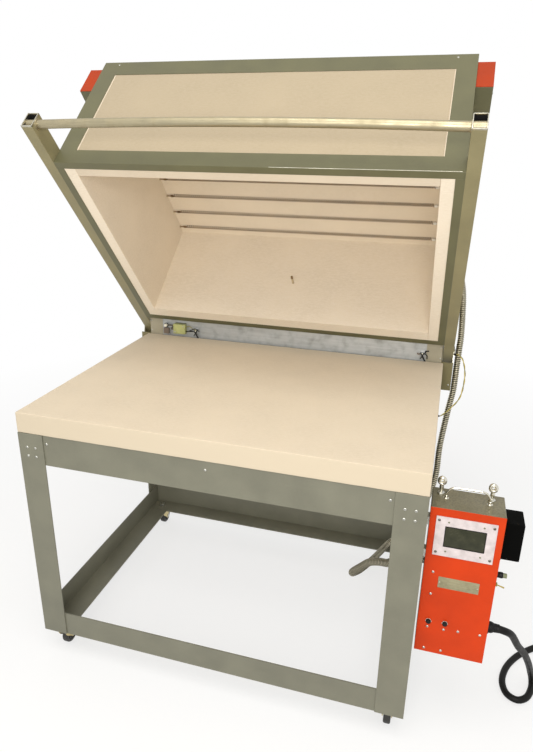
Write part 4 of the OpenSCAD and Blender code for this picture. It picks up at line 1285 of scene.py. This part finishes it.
def make_probe_socket():
    """The ribbed probe socket with its pale tip."""
    b = Build()
    at = move(CASE_X1, FITTINGS_Y, 579) @ SIDEWAYS
    b.lathe([(6, -4), (6, 0), (9, 0), (9, 2.4), (8.4, 3), (8, 3.2), (8, 8), (7.6, 8.6), (8, 9.2),
             (8, 18), (7.4, 19), (6.6, 19.2)], "black", 36, at)
    b.lathe([(6.6, 19), (6.5, 28), (6, 29), (4.6, 29), (4.4, 26), (0, 26)], "tip", 32, at)
    ribs = 14
    for k in range(ribs):
        b.box((7.6, -0.6, 10), (8.4, 0.6, 17.5), "black", 0.3, place=at @ turn(k * 360 / ribs, "Z"))
    b.done("side_probe_socket", "stand", ("side_socket",), 35)


def make_toggle():
    """The toggle switch: its nut and threaded bushing, and the bat lever, which rocks."""
    b = Build()
    at = move(CASE_X1, FITTINGS_Y, TOGGLE_Z) @ SIDEWAYS
    b.lathe([(6, -14), (6, 0), (7.6, 0), (7.6, 0.8), (6, 0.9)], "zinc", 28, at)
    b.hexagon(14.6, 2.6, "zinc", at @ move(0, 0, 0.8), 0.4)
    thread = [(5.5 - 0.25 * (k % 2), 3.4 + k * 0.5) for k in range(9)]
    b.lathe([(5.4, 3), *thread, (5.2, 8.6), (4.8, 9), (3.5, 9), (3.5, 3)], "brass", 28, at)
    b.done("toggle_bushing", "stand", ("toggle_switch",), 35)
    b = Build()
    at = move(CASE_X1 + 5, FITTINGS_Y, TOGGLE_Z) @ turn(17, "Y") @ SIDEWAYS
    b.lathe([(0, -2.4), (1.7, -1.8), (2.4, 0), (1.7, 1.8), (1.5, 3), (1.7, 12), (2.1, 20),
             (2.2, 21.6), (2.0, 22.8), (1.3, 23.7), (0, 24)], "brass", 24, at)
    b.done("toggle_bat_lever", "toggle", ("toggle_lever",), 45)


def make_case_side():
    """The black box, socket and toggle on the case's right side."""
    make_side_box()
    make_probe_socket()
    make_toggle()


CASTER_X, CASTER_FRONT, CASTER_REAR = 553, 47, 818   # the swivels' places
TRAIL, WHEEL_R = 18, 31                               # a wheel's place behind its swivel, its radius


def make_fork(tag, x, y):
    """A caster's plated fork: stem nut, ball race, crown, two side plates and the axle."""
    b = Build(SITE @ move(x, y, 0))
    b.lathe([(6, 102), (6, 88), (20, 88), (22.4, 86.8), (23, 84.5), (21.6, 82.4), (20.6, 81.6),
             (20.6, 80.8), (22.6, 79.6), (23, 77), (21, 73.5), (17, 71), (15, 69.8), (0, 69.8)],
            "fork", 48)
    balls, eye = 22, 10.2
    for k in range(balls):
        b.lathe([(0, -1.6), (1.1, -1.1), (1.6, 0), (1.1, 1.1), (0, 1.6)], "zinc", 8,
                turn(k * 360 / balls, "Z") @ move(20.8, 0, 81.2))
    b.box((-15.5, -23, 67), (15.5, 23, 70.2), "fork", 1.2, 2)
    b.hexagon(21, 8.6, "zinc", move(0, 0, 94.4), 0.8)
    b.lathe([(4.4, 60), (8, 60.6), (8.4, 63), (8.4, 67.2)], "zinc", 24)
    lower = [(TRAIL + eye * math.cos(a), WHEEL_R + eye * math.sin(a))
             for a in (math.radians(t) for t in range(195, 366, 19))]
    side = [(-23, 68.5), (-20.5, 57), (-14, 47), *lower, (28.6, 52), (23, 68.5)]
    for sx in (-15.4, 12.4):
        b.prism(side, 3, "fork", 0.7, 2, move(sx, 0, 0) @ turn(90, "Z") @ turn(90, "X"))
    for k in (-1, 1):
        at = move(k * 15.5, TRAIL, WHEEL_R) @ turn(90 * k, "Y")
        b.lathe([(7.4, -0.2), (7.4, 0.8), (5, 1)], "zinc", 28, at)
        b.hexagon(13, 3.0, "zinc", at, 0.6)
    b.tube([(-15, TRAIL, WHEEL_R), (15, TRAIL, WHEEL_R)], 4, "zinc", 20)
    b.done("caster_fork_" + tag + "_plated", "swivel_" + tag, ("caster_fork_" + tag,), 35)


def make_wheel(tag, x, y):
    """A caster's hard wheel: hub, web with six ribs a side, rim and tread."""
    b = Build(SITE @ move(x, y + TRAIL, WHEEL_R))
    half = [(4.1, 11), (9, 11), (9.6, 10.4), (10, 7.6), (11, 7), (20, 7.2), (21, 7.6), (22.4, 10.4),
            (23, 10.9), (27.6, 10.9), (29.4, 9.8), (30.6, 7.6), (WHEEL_R, 4.6)]
    b.lathe([(r, -h) for r, h in half] + half[::-1], "wheel", 56, SIDEWAYS)
    ribs = 6
    for k in range(ribs):
        for sx in (-1, 1):
            b.box((11, -1.4, 5.8), (20.6, 1.4, 9.2), "wheel", 0.6,
                  place=turn(90 * sx, "Y") @ turn(k * 360 / ribs, "Z"))
    b.done("caster_wheel_" + tag + "_tread", "wheel_" + tag, ("caster_wheel_" + tag,), 30)


def make_casters():
    """Four swivel casters, each a fork and a wheel."""
    for tag, x, y in (("fl", -CASTER_X, CASTER_FRONT), ("fr", CASTER_X, CASTER_FRONT),
                      ("rl", -CASTER_X, CASTER_REAR), ("rr", CASTER_X, CASTER_REAR)):
        make_fork(tag, x, y)
        make_wheel(tag, x, y)


# ---- the add-on -----------------------------------------------------------------------------
class OvenLooks(bpy.types.PropertyGroup):
    """Sizes, light levels and colours that the pieces read."""

    edge_radius: FloatProperty(name="Sheet edge radius", description="Radius of the steel edges",
                               default=0.0011, min=0.0002, max=0.003, subtype="DISTANCE", unit="LENGTH")
    board_edge: FloatProperty(name="Board edge radius", description="Radius of the bed boards' edges",
                              default=0.0032, min=0.001, max=0.01, subtype="DISTANCE", unit="LENGTH")
    coil_pitch: FloatProperty(name="Element pitch", description="Distance between turns of the element wire",
                              default=0.0088, min=0.004, max=0.02, subtype="DISTANCE", unit="LENGTH")
    conduit_pitch: FloatProperty(name="Conduit pitch", description="Distance between the conduit's ribs",
                                 default=0.0072, min=0.004, max=0.02, subtype="DISTANCE", unit="LENGTH")
    bar_bow: FloatProperty(name="Bar bow", description="Rise of the handle bar at its middle",
                           default=0.0085, min=0.0, max=0.02, subtype="DISTANCE", unit="LENGTH")
    key: FloatProperty(name="Key lamp", description="Power of the main lamp", default=42,
                       min=0, max=500, unit="POWER")
    surround: FloatProperty(name="Surround", description="Strength of the even surround",
                            default=0.6, min=0, max=5)
    bed_tint: FloatVectorProperty(name="Bed", description="Colour of the bed boards",
                                  default=(0.70, 0.60, 0.45), min=0, max=1, subtype="COLOR")
    # Painted light: the lining is kept lighter than the bed's board, for the light that the inside of the
    # hood lacks.
    board_tint: FloatVectorProperty(name="Lining", description="Colour of the hood's boards",
                                    default=(0.84, 0.74, 0.59), min=0, max=1, subtype="COLOR")
    stand_tint: FloatVectorProperty(name="Stand", description="Enamel of the stand",
                                    default=rgb(116, 115, 100), min=0, max=1, subtype="COLOR")
    hood_tint: FloatVectorProperty(name="Hood", description="Enamel of the hood's frames",
                                   default=rgb(101, 99, 71), min=0, max=1, subtype="COLOR")
    arm_tint: FloatVectorProperty(name="Arms", description="Enamel of the lift arms",
                                  default=rgb(138, 130, 96), min=0, max=1, subtype="COLOR")
    case_tint: FloatVectorProperty(name="Case front", description="Enamel of the control case's front",
                                   default=rgb(196, 58, 12), min=0, max=1, subtype="COLOR")
    shell_tint: FloatVectorProperty(name="Case shell", description="Hammered enamel of the case",
                                    default=rgb(108, 102, 78), min=0, max=1, subtype="COLOR")


class OVEN_OT_stage(bpy.types.Operator):
    """The pale floor, the even surround, two soft lamps and the camera."""

    bl_idname = "oven.stage"
    bl_label = "Stage"

    def execute(self, context):
        make_stage(context.scene.oven_looks)
        return {"FINISHED"}


class OVEN_OT_power_cord(bpy.types.Operator):
    """The power cord with its plug and ties, and its strain relief."""

    bl_idname = "oven.power_cord"
    bl_label = "Power cord"

    def execute(self, context):
        make_cord()
        return {"FINISHED"}


class OVEN_OT_conduit(bpy.types.Operator):
    """The corrugated conduit from the case to the hood, and its fittings."""

    bl_idname = "oven.conduit"
    bl_label = "Conduit"

    def execute(self, context):
        make_conduit(context.scene.oven_looks)
        return {"FINISHED"}


class OVEN_OT_sensor_lead(bpy.types.Operator):
    """The sleeved sensor lead from the hinge bracket round to the rear leg."""

    bl_idname = "oven.sensor_lead"
    bl_label = "Sensor lead"

    def execute(self, context):
        make_sensor_lead()
        return {"FINISHED"}


class OVEN_OT_bed(bpy.types.Operator):
    """The two insulating boards of the bed."""

    bl_idname = "oven.bed"
    bl_label = "Bed boards"

    def execute(self, context):
        make_bed(context.scene.oven_looks)
        return {"FINISHED"}


class OVEN_OT_hood_boards(bpy.types.Operator):
    """The five boards that line the hood."""

    bl_idname = "oven.hood_boards"
    bl_label = "Hood boards"

    def execute(self, context):
        make_hood_boards()
        return {"FINISHED"}


class OVEN_OT_elements(bpy.types.Operator):
    """Eight coiled elements in the roof board's grooves, with bright tails to the side walls."""

    bl_idname = "oven.elements"
    bl_label = "Elements"

    def execute(self, context):
        make_elements(context.scene.oven_looks)
        return {"FINISHED"}


class OVEN_OT_thermocouple(bpy.types.Operator):
    """The ceramic sheath that comes through the rear board."""

    bl_idname = "oven.thermocouple"
    bl_label = "Thermocouple"

    def execute(self, context):
        make_thermocouple()
        return {"FINISHED"}


class OVEN_OT_stand(bpy.types.Operator):
    """Legs, rails and bearers of the stand, with the screws in their faces."""

    bl_idname = "oven.stand"
    bl_label = "Stand"

    def execute(self, context):
        make_stand(context.scene.oven_looks)
        return {"FINISHED"}


class OVEN_OT_hood_frames(bpy.types.Operator):
    """The hood's four sheet frames and the small fixings in its front."""

    bl_idname = "oven.hood_frames"
    bl_label = "Hood frames"

    def execute(self, context):
        make_hood_frames(context.scene.oven_looks)
        return {"FINISHED"}


class OVEN_OT_covers(bpy.types.Operator):
    """The folded terminal covers along the hood's sides: orange end plates on olive sheet."""

    bl_idname = "oven.covers"
    bl_label = "Terminal covers"

    def execute(self, context):
        make_covers()
        return {"FINISHED"}


class OVEN_OT_lift(bpy.types.Operator):
    """The lift arms, their bright cut ends, and the drawn tube that joins them."""

    bl_idname = "oven.lift"
    bl_label = "Lift arms and bar"

    def execute(self, context):
        make_lift(context.scene.oven_looks)
        return {"FINISHED"}


class OVEN_OT_hinge_line(bpy.types.Operator):
    """The plate behind the bed, the brackets with their bolts, the limit switch and the lead clips."""

    bl_idname = "oven.hinge_line"
    bl_label = "Hinge line"

    def execute(self, context):
        make_hinge_line()
        return {"FINISHED"}


class OVEN_OT_case(bpy.types.Operator):
    """The control case, its front, and everything fixed to its front and top."""

    bl_idname = "oven.case"
    bl_label = "Control case"

    def execute(self, context):
        make_case()
        return {"FINISHED"}


class OVEN_OT_case_side(bpy.types.Operator):
    """The black box, socket and toggle on the case's right side."""

    bl_idname = "oven.case_side"
    bl_label = "Case side fittings"

    def execute(self, context):
        make_case_side()
        return {"FINISHED"}


class OVEN_OT_casters(bpy.types.Operator):
    """Four swivel casters, each a fork and a wheel."""

    bl_idname = "oven.casters"
    bl_label = "Casters"

    def execute(self, context):
        make_casters()
        return {"FINISHED"}


PIECES = (OVEN_OT_stage, OVEN_OT_power_cord, OVEN_OT_conduit, OVEN_OT_sensor_lead, OVEN_OT_bed,
          OVEN_OT_hood_boards, OVEN_OT_elements, OVEN_OT_thermocouple, OVEN_OT_stand,
          OVEN_OT_hood_frames, OVEN_OT_covers, OVEN_OT_lift, OVEN_OT_hinge_line, OVEN_OT_case,
          OVEN_OT_case_side, OVEN_OT_casters)


class OVEN_PT_looks(bpy.types.Panel):
    """Sizes, lamps and one button for each group of pieces."""

    bl_label = "Bench oven looks"
    bl_idname = "OVEN_PT_looks"
    bl_space_type = "VIEW_3D"
    bl_region_type = "UI"
    bl_category = "Oven"

    def draw(self, context):
        for name in OvenLooks.__annotations__:
            self.layout.prop(context.scene.oven_looks, name)
        for cls in PIECES:
            self.layout.operator(cls.bl_idname)


CLASSES = [OvenLooks, *PIECES, OVEN_PT_looks]


def register():
    """Adds the properties, the operators and the panel."""
    for cls in CLASSES:
        bpy.utils.register_class(cls)
    bpy.types.Scene.oven_looks = PointerProperty(type=OvenLooks)


def unregister():
    """Takes them away again."""
    del bpy.types.Scene.oven_looks
    for cls in reversed(CLASSES):
        bpy.utils.unregister_class(cls)


def finish_cad_nodes():
    """A procedural finish on every carried-over CAD node, shown or not."""
    by_slot = {"frame_paint": "frame", "board": "board", "zinc": "zinc", "chrome": "chrome",
               "steel_plate": "rolled", "arm_paint": "arm", "bar_metal": "bar", "switch_plastic": "switch",
               "dark_clip": "clip", "hammer_paint": "hammer", "orange_paint": "orange",
               "bezel_plastic": "bezel", "display": "screen", "plate_metal": "plate",
               "black_plastic": "black", "brass": "brass", "conduit_metal": "conduit",
               "lead_sleeve": "sleeve", "cord_rubber": "rubber", "element_wire": "wire",
               "ceramic_sheath": "ceramic", "fork_metal": "fork", "wheel_rubber": "wheel"}
    for part in frame["record"]["subparts"]:
        ob = frame["nodes"][part["node"]]
        ob.data.materials.clear()
        ob.data.materials.append(MAT[by_slot[part["material_slot"]]])


def main():
    register()
    make_materials(bpy.context.scene.oven_looks)
    finish_cad_nodes()
    for cls in PIECES:
        getattr(bpy.ops.oven, cls.bl_idname.split(".")[1])()


if __name__ == "__main__":
    main()
